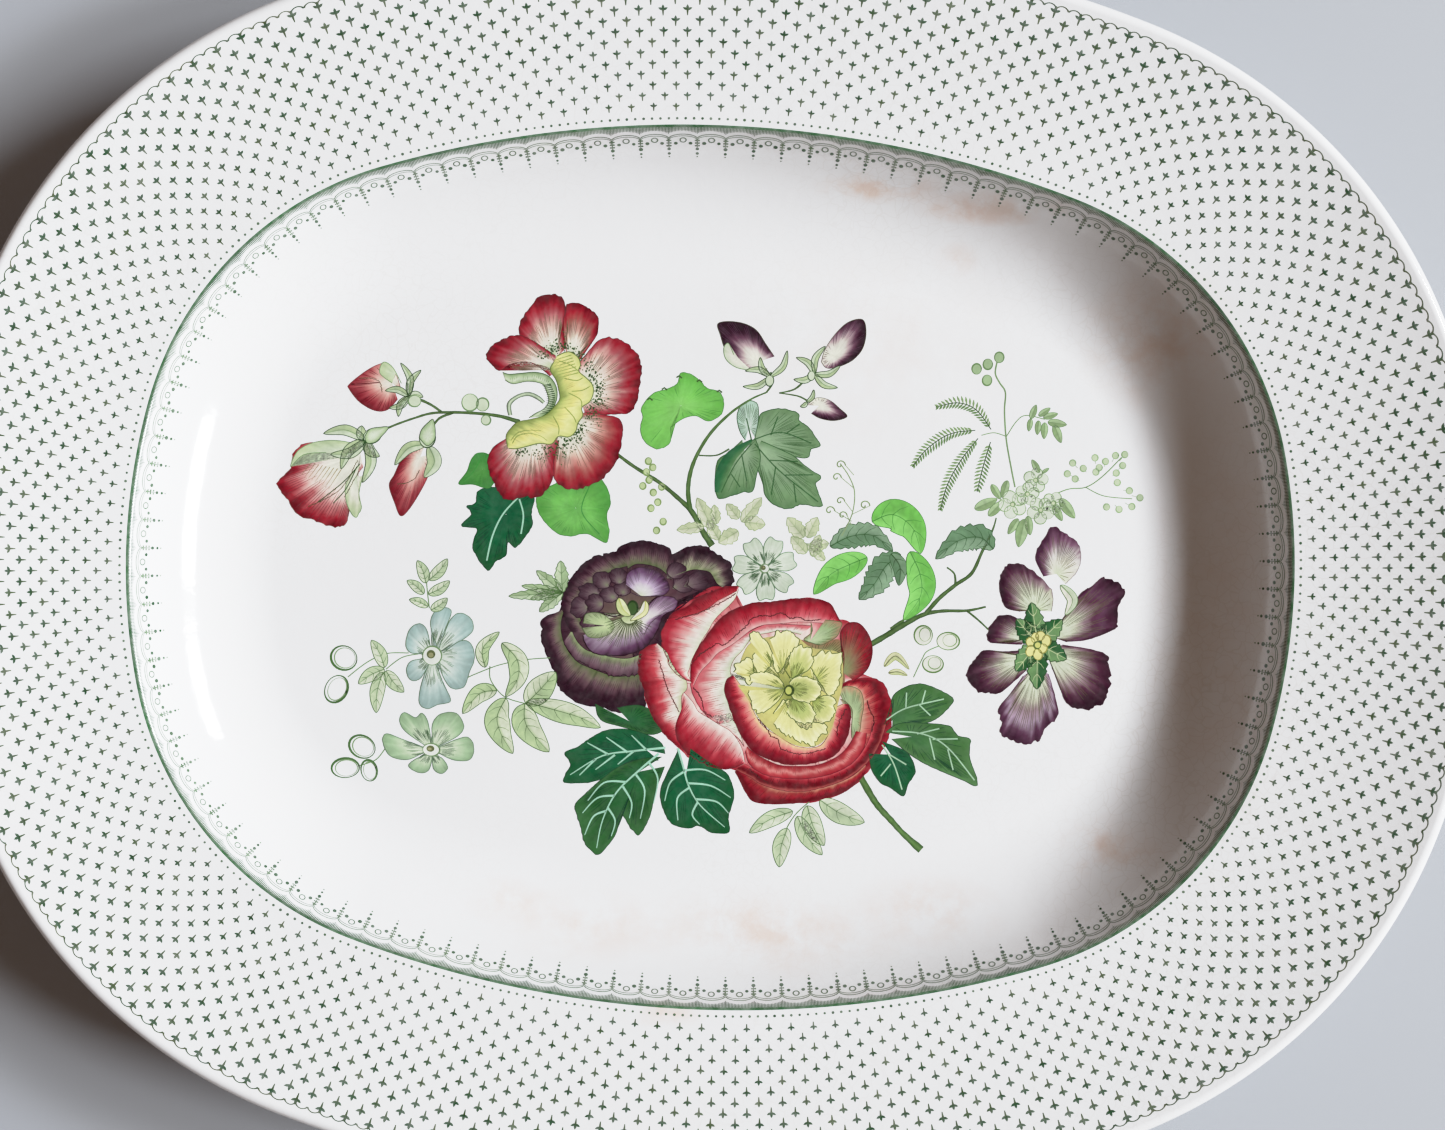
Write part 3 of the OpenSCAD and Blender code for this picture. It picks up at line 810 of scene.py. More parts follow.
def patch(drawing, outer, inner, stops, order=0, seed=1, line=None, width=0.26, hatch=0, frayed=0.0,
        ruffles=0):
    """A petal between its outer and inner edge, shaded through stops, with ruffles along the outer one."""
    count = max(12, int(sum(math.dist(p, q) for p, q in zip(outer, outer[1:])) * 1.4))
    rows, tints = [], []
    for i, (p, q) in enumerate(zip(even(outer, count), even(inner, count))):
        swing = i / count + 0.05 * math.sin(i * 0.7 + seed)
        lobe = abs(math.sin(math.pi * ruffles * swing)) ** 0.6 if ruffles else 1.0
        p = toward(q, p, 1 + frayed * rough(i * 0.5, 0, seed + 4) - 0.16 * (1 - lobe))
        row, shades = [], []
        for k in range(13):
            v = k / 12
            x, y = toward(p, q, v)
            row.append((x, y))
            drift = 0.2 * rough(i * 0.55, v, seed) + 0.12 * rough(x, y, seed, 0.4)
            share = v + math.sin(math.pi * v) * drift
            light = 1 + 0.15 * rough(i * 1.3, v * 2, seed + 5) + 0.06 * rough(x, y, seed + 5, 2)
            shades.append(shade(ramp(stops, share + 0.1 * (1 - lobe)), (0.55 + 0.45 * lobe) * light))
        rows.append(row)
        tints.append(shades)
    drawing.grid(rows, tints, order * LAYER)
    pick = random.Random(seed)
    for _ in range(hatch):
        row = rows[pick.randrange(1, count - 1)]
        a = pick.uniform(0.25, 0.6)
        b = a + pick.uniform(0.15, 0.35)
        points = [toward(row[0], row[-1], a + (b - a) * k / 3) for k in range(4)]
        drawing.stroke(points, [0.05, 0.13, 0.14, 0.06], shade(ramp(stops, a), 0.62),
            order * LAYER + HATCH_LIFT)
    if line:
        drawing.stroke([row[0] for row in rows], width, line, order * LAYER + OUTLINE_LIFT)
        drawing.stroke([row[-1] for row in rows], width * 0.7, line, order * LAYER + OUTLINE_LIFT)


def jagged(drawing, points, width, tint, order, seed=1, reach=0.5):
    """A torn engraved line, as along a petal's turned edge."""
    path = even(points, max(8, int(len(points) * 9)))
    moved = [(x + reach * rough(i * 0.9, 0, seed), y + reach * rough(0, i * 0.9, seed + 1))
             for i, (x, y) in enumerate(path)]
    widths = [width * (0.55 + 0.9 * abs(rough(i * 0.7, 3, seed + 2))) for i in range(len(moved))]
    drawing.stroke(moved, widths, tint, order * LAYER + TORN_LIFT)


def band(drawing, spine, widths, across, order=0, seed=1, wave=0.0, mottle=0.2):
    """A curved strip with its own width at each point, shaded across from its left side to its right."""
    path, half = smooth(spine), smooth([(w, 0) for w in widths])
    rows, tints = [], []
    last = len(path) - 1
    for i, (x, y) in enumerate(path):
        (ax, ay), (bx, by) = path[max(i - 1, 0)], path[min(i + 1, last)]
        d = math.hypot(bx - ax, by - ay) or 1
        nx, ny = -(by - ay) / d, (bx - ax) / d
        reach = max(0.02, half[i][0]) / 2 * (1 + wave * math.sin(i * 1.9 + seed))
        row, shades = [], []
        for k in range(9):
            v = 1 - k / 4
            px, py = x + nx * reach * v, y + ny * reach * v
            row.append((px, py))
            shades.append(shade(ramp(across, k / 8 + 0.09 * rough(px, py, seed, 0.8)),
                1 + mottle * rough(px, py, seed + 2, 1.4)))
        rows.append(row)
        tints.append(shades)
    drawing.grid(rows, tints, order * LAYER)


def leaf(drawing, spine, width, left, right, order=0, seed=1, teeth=0, vein=None, veins=4, edge=None,
        vein_width=0.3, edge_width=0.2):
    """A leaf along a curved spine, each half with its own wash, with a midrib, side veins and an outline."""
    path = smooth(spine, 10)
    last = len(path) - 1
    rows, tints, normals, reaches = [], [], [], []
    for i, (x, y) in enumerate(path):
        (ax, ay), (bx, by) = path[max(i - 1, 0)], path[min(i + 1, last)]
        d = math.hypot(bx - ax, by - ay) or 1
        normals.append((-(by - ay) / d, (bx - ax) / d))
        t = i / last
        reach = width / 2 * math.sin(math.pi * t ** 0.85) ** 0.85 if 0 < i < last else 0.02
        if teeth:
            reach *= 1 + 0.16 * (1 - 2 * ((t * teeth) % 1))
        reaches.append(reach)
    for (x, y), (nx, ny), reach in zip(path, normals, reaches):
        row, shades = [], []
        for k in range(9):
            v = 1 - k / 4
            px, py = x + nx * reach * v, y + ny * reach * v
            base = left if v > 0 else right
            row.append((px, py))
            shades.append(shade(base, 1 + 0.18 * rough(px, py, seed, 0.9) - 0.12 * (1 - abs(v))))
        rows.append(row)
        tints.append(shades)
    drawing.grid(rows, tints, order * LAYER)
    top = order * LAYER + HATCH_LIFT
    if vein:
        drawing.stroke(path, [vein_width * (1.2 - 0.9 * i / last) for i in range(last + 1)], vein, top)
        for n in range(1, veins + 1):
            i = int(last * n / (veins + 1.5))
            tip = min(last, i + int(last * 0.16))
            for side in (-1, 1):
                x, y = path[i]
                tx, ty = path[tip]
                nx, ny = normals[tip]
                end = (tx + nx * reaches[tip] * 0.82 * side, ty + ny * reaches[tip] * 0.82 * side)
                middle = ((x + end[0]) / 2 - (end[1] - y) * 0.08 * side,
                    (y + end[1]) / 2 + (end[0] - x) * 0.08 * side)
                drawing.stroke([(x, y), middle, end], [vein_width * 0.8, vein_width * 0.6, vein_width * 0.3],
                    vein, top)
    if edge:
        drawing.stroke([row[0] for row in rows] + [row[-1] for row in rows][::-1], edge_width, edge, top)


def ring_line(drawing, x, y, rx, ry, tint, width=0.26, fill=None, turn=0.0, order=0):
    """An outlined berry or eye."""
    c, s = math.cos(math.radians(turn)), math.sin(math.radians(turn))
    ring = [(x + rx * math.cos(a) * c - ry * math.sin(a) * s, y + rx * math.cos(a) * s + ry * math.sin(a) * c)
            for a in (2 * math.pi * i / 24 for i in range(24))]
    if fill:
        drawing.fan((x, y), ring, fill, order * LAYER)
    widths = [width * (1.15 + 0.55 * math.sin(2 * math.pi * i / 24 + x)) for i in range(26)]
    drawing.stroke(ring + ring[:2], widths, tint, order * LAYER + HATCH_LIFT)


def curves(drawing, lines, width, tint, lift):
    """The same stroke along each of some listed curves."""
    for line in lines:
        drawing.stroke(smooth(line), width, tint, lift)


def stem(drawing, points, widths, order=0, dark=LINE_GREEN, light=ink(88, 114, 64)):
    """A stem with dark edges, with a width at each of its points."""
    band(drawing, points, widths, [dark, light, dark], order, seed=points[0][0], mottle=0.35, wave=0.06)


def stipple(drawing, path, spread, count, seed, tint, sizes=(0.12, 0.3), order=0):
    """Engraved dots scattered along a path, thicker near it."""
    pick, curve = random.Random(seed), smooth(path)
    for _ in range(count):
        x, y = pick.choice(curve)
        x, y = x + pick.gauss(0, spread), y + pick.gauss(0, spread)
        drawing.fan((x, y), circle(x, y, pick.uniform(*sizes), 6), tint, order * LAYER)


def sepals(drawing, at, tips, width, order, seed):
    """Narrow curling leaves from one point."""
    for k, tip in enumerate(tips):
        d = math.dist(at, tip)
        bend = 0.16 * d * (1 if k % 2 else -1)
        middle = ((at[0] + tip[0]) / 2 - (tip[1] - at[1]) / d * bend,
            (at[1] + tip[1]) / 2 + (tip[0] - at[0]) / d * bend)
        leaf(drawing, [at, middle, tip], width, LEAF_WASH, PALE_GREEN, order, seed + k, edge=LINE_GREEN,
            vein=FAINT_GREEN, veins=0, vein_width=0.2, edge_width=0.24)


def flower(name, slot, nodes, draw, material):
    """One piece of the bouquet, drawn on the floor."""
    drawing = Drawing(on_floor)
    draw(drawing)
    return drawing.piece(name, material, slot, nodes)


# --- The bouquet: flowers ------------------------------------------------------------------

def poppy(d):
    """The large red flower at the upper left, with the green curl inside its crest."""
    rim = [ink(104, 132, 80), ink(190, 202, 168), CREAM, ink(222, 206, 194), ink(206, 168, 158),
        ink(166, 84, 90), CRIMSON, DEEP_CRIMSON]
    dusty = [ink(110, 136, 84), ink(206, 212, 186), CREAM, ink(222, 208, 194), ink(196, 150, 138),
        ink(160, 84, 80), CRIMSON, DEEP_CRIMSON]
    petals = [
        ((-53, 63), pts(-49.5, 67.5, -50.5, 75, -50, 80, -51, 83.5, -54, 84.5, -58, 84, -60.5, 81, -63, 77.5,
         -64.5, 74.5, -64, 71, -60, 67.5, -56.5, 63.5), 100, 0.5, rim),
        ((-48, 63), pts(-49.5, 67.5, -50.5, 75, -50, 79.5, -49, 82, -44.5, 81.5, -41.5, 80, -39.5, 77.5,
         -39.5, 73, -41, 70, -43.5, 66, -45.5, 63), 60, 0.45, dusty),
        ((-51.5, 60.5), pts(-52.5, 65, -56.5, 67.5, -61, 70, -64, 71, -67, 70.5, -71, 68.5, -73.5, 66.5,
         -74.5, 64, -72.5, 61, -70, 59.5, -67, 61.5, -63.5, 62.5, -60, 62.5, -56.5, 60.5, -54, 58.5), 175,
         0.4, rim),
        ((-45, 53.5), pts(-45.5, 62.5, -42, 67, -39, 70.5, -35.5, 71.5, -32.5, 71, -29, 69, -26, 65.5,
         -25, 61.5, -25.5, 56, -26.5, 50.5, -28.5, 48, -32, 47.5, -36.5, 47, -42, 46.5), 0, 0.5, rim),
        ((-49, 44.5), pts(-42.5, 47.5, -36.5, 47, -31.5, 46, -30, 42.5, -30.5, 37, -32, 32, -36.5, 26.5,
         -42, 23.5, -47, 23, -50.5, 25, -51.5, 27.5, -52.5, 32, -53, 36.5), -50, 0.5, dusty),
        ((-58.5, 41.5), pts(-50.5, 38, -51.5, 31, -51.5, 26.5, -54, 21.5, -57.5, 19.5, -60, 20, -65.5, 18.5,
         -68, 20, -70, 23.5, -72, 27.5, -72.5, 31, -71, 35, -67, 38), -100, 0.5, rim),
    ]
    for k, (root, outline, dark, bias, stops) in enumerate(petals):
        petal(d, root, outline, stops, dark, bias, order=k + 1, seed=k + 2, line=ink(84, 34, 38), width=0.16,
            hatch=90, hatch_tint=ink(120, 96, 76), ruffle=0.03, reach=(0.35, 0.75))
    stipple(d, pts(-56.5, 65, -51.5, 68, -45.5, 65.5, -41, 60.5, -38.5, 55, -39, 50, -42, 44, -45.5, 39.5,
        -50.5, 36, -56.5, 34.5, -63.5, 34.5), 1.0, 420, 5, ink(52, 84, 42), (0.16, 0.34), 9)
    stipple(d, pts(-56, 67, -51.5, 70, -44.5, 67.5, -39.5, 62.5, -36.5, 55, -37.5, 49, -40, 43, -44.5, 37.5,
        -50.5, 34, -56.5, 32.5), 1.6, 160, 6, ink(70, 96, 56), (0.12, 0.26), 9)
    patch(d, pts(-69, 59, -67, 58.5, -63, 59, -58.5, 59.5, -54.5, 58.5, -52, 55.5, -51.5, 51.5, -53, 48,
        -56, 45.5), pts(-68, 56.5, -65.5, 55.5, -61, 56.5, -56.5, 56, -55, 54, -54, 50.5, -55.5, 48,
        -58, 46.5, -60, 45), [ink(120, 146, 98), ink(170, 186, 150), LEAF_WASH, ink(140, 160, 112)], 10, 4,
        ink(56, 88, 44), hatch=60)
    band(d, pts(-66, 45.5, -66.5, 49, -64, 51.5, -60.5, 52.5, -57.5, 51.5, -55.5, 50),
        [1.2, 1.4, 1.2, 1.3, 1.3, 1], [LINE_GREEN, LEAF_WASH, LINE_GREEN], 11, 5)
    for k in range(16):
        x, y = smooth(pts(-54, 56, -52.5, 52.5, -53, 49, -55.5, 45.5))[k]
        d.stroke([(x - 2.2, y - 0.6), (x + 0.4, y)], [0.1, 0.4], LINE_GREEN, 0.075)


def poppy_crest(d):
    """The poppy's curled yellow crest and its folds."""
    patch(d, pts(-52, 65, -48.5, 66.5, -45.5, 65, -44.5, 62.5, -45, 60.5, -42.5, 58.5, -40.5, 56.5, -40, 54,
        -41, 51, -43.5, 49, -43, 46.5, -44.5, 44, -45, 41.5, -47, 39.5, -50.5, 39.5, -52.5, 37, -56.5, 37,
        -60, 36, -63.5, 35, -66, 35), pts(-53, 63, -54, 60.5, -52, 57.5, -51, 54.5, -50.5, 51.5, -52, 49,
        -55, 46, -59.5, 44.5, -63.5, 43.5, -65.5, 41.5, -67, 39, -66.5, 35.5),
        [ink(196, 202, 128), ink(226, 224, 158), YELLOW, ink(192, 198, 122), ink(124, 142, 70)], 12, 2,
        ink(104, 120, 58), 0.3, 50)
    for turn in (pts(-51.5, 63.5, -48, 62.5, -45, 60.5), pts(-49.5, 58, -45.5, 57.5, -43.5, 58.5),
            pts(-48, 53.5, -44, 51.5, -43.5, 49), pts(-49, 49, -46, 46, -45, 44),
            pts(-52.5, 46, -50.5, 42.5, -50.5, 40), pts(-47, 54, -43.5, 54.5, -41, 56),
            pts(-65, 36.5, -63.5, 39, -60, 40, -56.5, 39.5, -54, 38), pts(-65.5, 37.5, -63.5, 40, -60, 41,
            -56, 41)):
        d.stroke(smooth(turn), [0.1] + [0.34] * 10 + [0.2] * (6 * (len(turn) - 1) - 10), ink(150, 162, 88),
            0.09)
    for k in range(7):
        fold = [toward((-53, 63.5), (-51.5, 58), k / 6), toward((-47.5, 65.5), (-45, 60), k / 6)]
        d.stroke(fold, [0.12, 0.36], ink(150, 162, 88), 0.09)


def red_buds(d):
    """Three drooping buds on one stem."""
    stem(d, pts(-63, 43.5, -69, 45, -76, 45.6, -84, 45.6, -91, 45, -97, 43, -103, 40.5, -108, 38),
        [1.5, 1.1, 1, 0.9, 0.8, 0.7, 0.7, 0.7])
    stem(d, pts(-84, 45.6, -88.5, 43.5, -91, 40), [0.9, 0.8, 0.6])
    stem(d, pts(-88, 45.6, -91, 47.5, -94.5, 49, -98, 50), [0.8, 0.8, 0.9, 0.7])
    for x, y, r in ((-75, 48.5, 2.0), (-79, 49, 2.6), (-73.7, 43.6, 1.5)):
        ring_line(d, x, y, r, r * 1.05, FAINT_GREEN, 0.3, LEAF_WASH, order=2)
    rosy = [CREAM, ink(220, 208, 194), ink(212, 176, 166), ink(188, 126, 120), ink(166, 72, 78),
        ink(132, 30, 44), DEEP_CRIMSON]
    petal(d, (-104, 54), pts(-101, 52, -103, 57, -106, 60, -109, 59.5, -113, 57, -117.5, 53, -117.5, 51.5,
        -114, 47.5, -109, 45, -105, 45.5, -102, 49), rosy, -135, 0.9, 2, 21, ink(120, 60, 60), 0.2, 46,
        DEEP_CRIMSON)
    petal(d, (-103, 57), pts(-104, 54, -108, 57, -107, 60.5, -104, 59, -101, 54), [LEAF_WASH, PALE_GREEN],
        order=3, seed=22, line=FAINT_GREEN)
    d.stroke(smooth(pts(-117, 53, -112, 53.5, -108, 54)), [0.3, 0.7, 0.2, 0.3] + [0.3] * 9, ink(90, 20, 30),
        0.03)
    sepals(d, (-98.5, 50), pts(-101.5, 60.5, -95, 58.5, -106, 51.5, -104.5, 46, -101.5, 43.5, -94, 50), 2.2,
        4, 23)
    petal(d, (-113, 31), pts(-112, 34, -120, 34, -126, 34, -131, 33.5, -134.5, 30, -135, 25.5, -139, 20.5,
        -136, 16, -132, 11, -126, 9, -120, 7.5, -116.5, 9, -116, 14, -113.5, 17, -115, 22, -112, 27),
        [CREAM, CREAM, CREAM, CREAM, ink(228, 216, 206), ink(220, 190, 182), ink(186, 106, 108), CRIMSON,
        DEEP_CRIMSON], -138, 0.8, 2, 31, ink(126, 84, 76), 0.18, 150, ink(120, 40, 50), 0.03, (0.5, 0.98))
    petal(d, (-117, 30), pts(-113, 34, -121, 35, -128, 34, -133, 31, -135, 26, -131, 30, -124, 31),
        [CREAM, LEAF_WASH, PALE_GREEN], order=3, seed=32, line=FAINT_GREEN)
    petal(d, (-114, 24), pts(-113, 28, -117, 22, -117, 16, -114, 11, -112, 14, -113, 18, -112, 24),
        [LEAF_WASH, CREAM, PALE_GREEN], order=3, seed=33, line=FAINT_GREEN, ruffle=0.05)
    curves(d, (pts(-113, 28, -118, 22, -126, 15), pts(-114, 27, -117, 20, -121, 15)), 0.3, LINE_GREEN, 0.03)
    sepals(d, (-111.5, 35.5), pts(-125, 37, -122.5, 30.5, -119, 26, -112, 22, -107, 30.5, -113, 40), 3.4, 4,
        34)
    ring_line(d, -109.5, 37, 3.0, 2.3, LINE_GREEN, 0.26, LEAF_WASH, 30, 5)
    petal(d, (-94, 31), pts(-93, 34, -98, 33.5, -100, 30, -102, 25, -103.5, 21.5, -101.5, 16, -99.5, 12,
        -97, 14, -93.5, 20, -91, 26, -90.5, 32), rosy, -145, 0.85, 2, 41, ink(120, 60, 60), 0.2, 60,
        ink(120, 40, 50))
    leaf(d, pts(-92.5, 35, -98, 33.5, -102, 28), 3.4, LEAF_WASH, PALE_GREEN, 3, 42, edge=LINE_GREEN,
        vein=FAINT_GREEN, veins=0)
    leaf(d, pts(-91.5, 34.5, -89.5, 29.5, -92.5, 24.5), 4.6, LEAF_WASH, PALE_GREEN, 3, 43, edge=LINE_GREEN,
        vein=FAINT_GREEN, veins=0)
    ring_line(d, -92, 37, 2.5, 3.0, LINE_GREEN, 0.26, LEAF_WASH, -10, 5)
    ring_line(d, -96.6, 48.6, 2.0, 1.8, FAINT_GREEN, 0.26, LEAF_WASH, 0, 5)
    for root, outline in (
            ((-109, 37.4), pts(-112, 36.5, -110.5, 39, -107.5, 39.8, -104.5, 39.9, -106.5, 37, -108.5, 35,
             -111, 34.6)),
            ((-92, 37.6), pts(-94.6, 37, -94, 39.6, -92, 42, -90.4, 43, -89.6, 39.5, -89.8, 36.5,
             -92, 34.6))):
        petal(d, root, outline + outline[:1], [ink(206, 216, 194), LEAF_WASH, ink(150, 172, 126)], order=6,
            seed=44, line=LINE_GREEN)
    for fold in (pts(-129, 13.5, -124, 16, -119.5, 19, -116, 24, -114, 29),
            pts(-117.5, 17, -115.5, 21, -113.5, 25), pts(-101, 22, -98, 22.5, -95.5, 24, -94, 27),
            pts(-114.5, 55, -111, 55.2, -108, 54.2, -107, 51)):
        jagged(d, fold, 0.3, ink(78, 70, 44), 6, 45, 0.3)
    for k in range(9):
        d.stroke([(-131.5 + 1.1 * k, 23.5 - 0.5 * k), (-128.5 + 1.2 * k, 27.5 - 0.2 * k)], [0.08, 0.22, 0.08],
            ink(140, 122, 88), 0.03)


def purple_buds(d):
    """Three small buds over the vine leaf."""
    stem(d, pts(15, 56.5, 17, 60, 16, 63), [0.6, 0.6, 0.6])
    stem(d, pts(19, 56.5, 24, 58, 28, 62), [0.4, 0.6, 0.7])
    stem(d, pts(19, 56.5, 25, 55.8, 28, 54.5), [0.4, 0.5, 0.6])
    dusky = [CREAM, CREAM, ink(212, 206, 196), ink(172, 148, 154), ink(104, 64, 84), ink(56, 24, 42),
        BLACK_PURPLE, BLACK_PURPLE]
    petal(d, (12, 66), pts(15, 64, 7, 63.5, 3.5, 66, 1, 70, -0.5, 74, -1.5, 77.5, 2, 78.5, 7, 78, 11, 76,
        14, 72, 17, 68), dusky, 112, 0.8, 2, 51, ink(90, 90, 70), 0.18, 50, ink(80, 50, 70))
    petal(d, (5.5, 67), pts(10, 63.2, 5, 64, 1.6, 66.5, 0.8, 70, 2.2, 71.5, 4, 68), [CREAM, CREAM, LEAF_WASH],
        order=3, seed=52, line=FAINT_GREEN)
    sepals(d, (16, 61.5), pts(21, 70, 7.5, 58, 8, 63, 12.5, 67.5), 2.0, 4, 53)
    petal(d, (36, 69), pts(32, 67, 33, 71, 36, 76, 40, 80, 44.5, 81, 45.8, 77, 45, 72, 42.5, 68.5, 39.5, 66.5,
        36, 65.2, 33.5, 65.2, 32, 67), dusky, -5, 0.75, 2, 54, ink(90, 90, 70), 0.18, 50, ink(80, 50, 70))
    sepals(d, (30, 63), pts(24, 68, 23.5, 61, 37.5, 59, 33, 72, 38, 66), 2.1, 4, 55)
    petal(d, (32, 53), pts(28, 53, 31, 55.5, 35, 55, 38.5, 52.5, 41, 50, 37, 48.5, 32.5, 49, 29.5, 50.5),
        dusky, -62, 0.9, 2, 56, ink(90, 90, 70), 0.16, 24, ink(80, 50, 70))
    sepals(d, (28, 54), [(30, 58), (26, 52.5)], 1.4, 4, 57)
    for x, y, rx, ry in ((15.8, 60.2, 1.3, 1.7), (29, 62.4, 1.1, 1.5)):
        ring_line(d, x, y, rx, ry, LINE_GREEN, 0.2, LEAF_WASH, 0, 5)


def star_flower(d):
    """The purple flower at the right, seen full face, with green sepals round its eye."""
    stops = [ink(166, 188, 142), ink(198, 206, 180), ink(204, 210, 188), ink(190, 190, 172),
        ink(148, 124, 130), ink(88, 48, 68), ink(56, 20, 40), BLACK_PURPLE]
    soft = [ink(196, 206, 176), CREAM, ink(206, 200, 196), ink(128, 88, 112), ink(74, 36, 60),
        ink(52, 20, 42)]
    petals = [
        ((110, 3), pts(106, 2, 103, 8, 105, 13, 108, 18, 112, 16, 116, 13.5, 117.5, 9, 116.5, 4, 113, 0),
         140, 0.85, soft),
        ((104, -9), pts(109, -9, 109, -3, 105, 1.5, 101, 4.5, 97, 6, 93.5, 4.5, 92, 0, 92.5, -5, 94.5, -8.5,
         99, -9.5), 160, 0.75, stops),
        ((102, -18), pts(100, -13, 96, -10.8, 92, -11.5, 89, -16, 89.5, -19.5, 94, -20, 100, -20), 170, 0.6,
         stops),
        ((102, -24), pts(99, -22, 94, -22.5, 88, -22.5, 85, -26, 83, -30.5, 86, -35, 90, -36, 94, -35.5,
         98, -32, 102, -28), 190, 0.6, stops),
        ((105, -27), pts(101, -30, 97, -36, 93.5, -41, 95, -45, 94.5, -48, 98, -51, 103, -51.5, 107, -50,
         109, -46, 112.5, -43, 112, -38, 109, -29), -100, 0.6, [*stops[:5], LILAC, PURPLE, ink(60, 26, 48)]),
        ((108, -22), pts(110, -27, 113, -33, 114.5, -37, 118, -39.5, 123, -39.5, 127, -37, 128.5, -32,
         128, -25, 127, -22, 122, -20.5, 113, -19.5), -50, 0.6, stops),
        ((109, -17), pts(114, -18.5, 121, -17.5, 128, -14.5, 130.5, -12, 130, -7, 132, -2, 130, 0.5,
         125, 2.5, 122, 0, 118, -3, 115, -8, 112, -13), 15, 0.6, [*stops[:6], PURPLE, ink(66, 28, 50),
         BLACK_PURPLE]),
    ]
    for k, (root, outline, dark, bias, tints) in enumerate(petals):
        petal(d, root, outline, tints, dark, bias, k, 61 + k, ink(96, 70, 76), 0.16, 56, ink(92, 84, 62),
            0.05, (0.2, 0.85))
    leaf(d, pts(111.5, -0.5, 115.5, -5, 113.5, -10), 3.4, LEAF_WASH, CREAM, 8, 70, edge=FAINT_GREEN,
        vein=FAINT_GREEN, veins=0)
    middle = (105, -19.5)
    for k, tip in enumerate(pts(102.5, -6.5, 112.5, -11.5, 114.5, -24, 105.5, -34, 98.5, -28.5, 98, -12)):
        leaf(d, [middle, toward(middle, tip, 0.5), tip], 6.4, ink(40, 92, 50), ink(110, 148, 96), 10, 71 + k,
            teeth=7, vein=ink(196, 206, 160), veins=3, edge=ink(30, 66, 34), vein_width=0.26, edge_width=0.26)


def star_eye(d):
    """The yellow knobs at the middle of the purple flower."""
    for k in range(7):
        a = 2 * math.pi * k / 7 + 0.3
        away = 1 + 0.25 * math.sin(5 * k + 1)
        x, y = 105 + 2.4 * away * math.cos(a), -19.5 + 2.9 * away * math.sin(a)
        ring_line(d, x, y, 1.9 - 0.4 * away, 1.5 * away, ink(150, 148, 78), 0.26, ink(226, 220, 152), 40 * k,
            12)
    ring_line(d, 105, -20, 1.1, 1.1, ink(84, 104, 50), 0.36, ink(200, 200, 120), order=13)


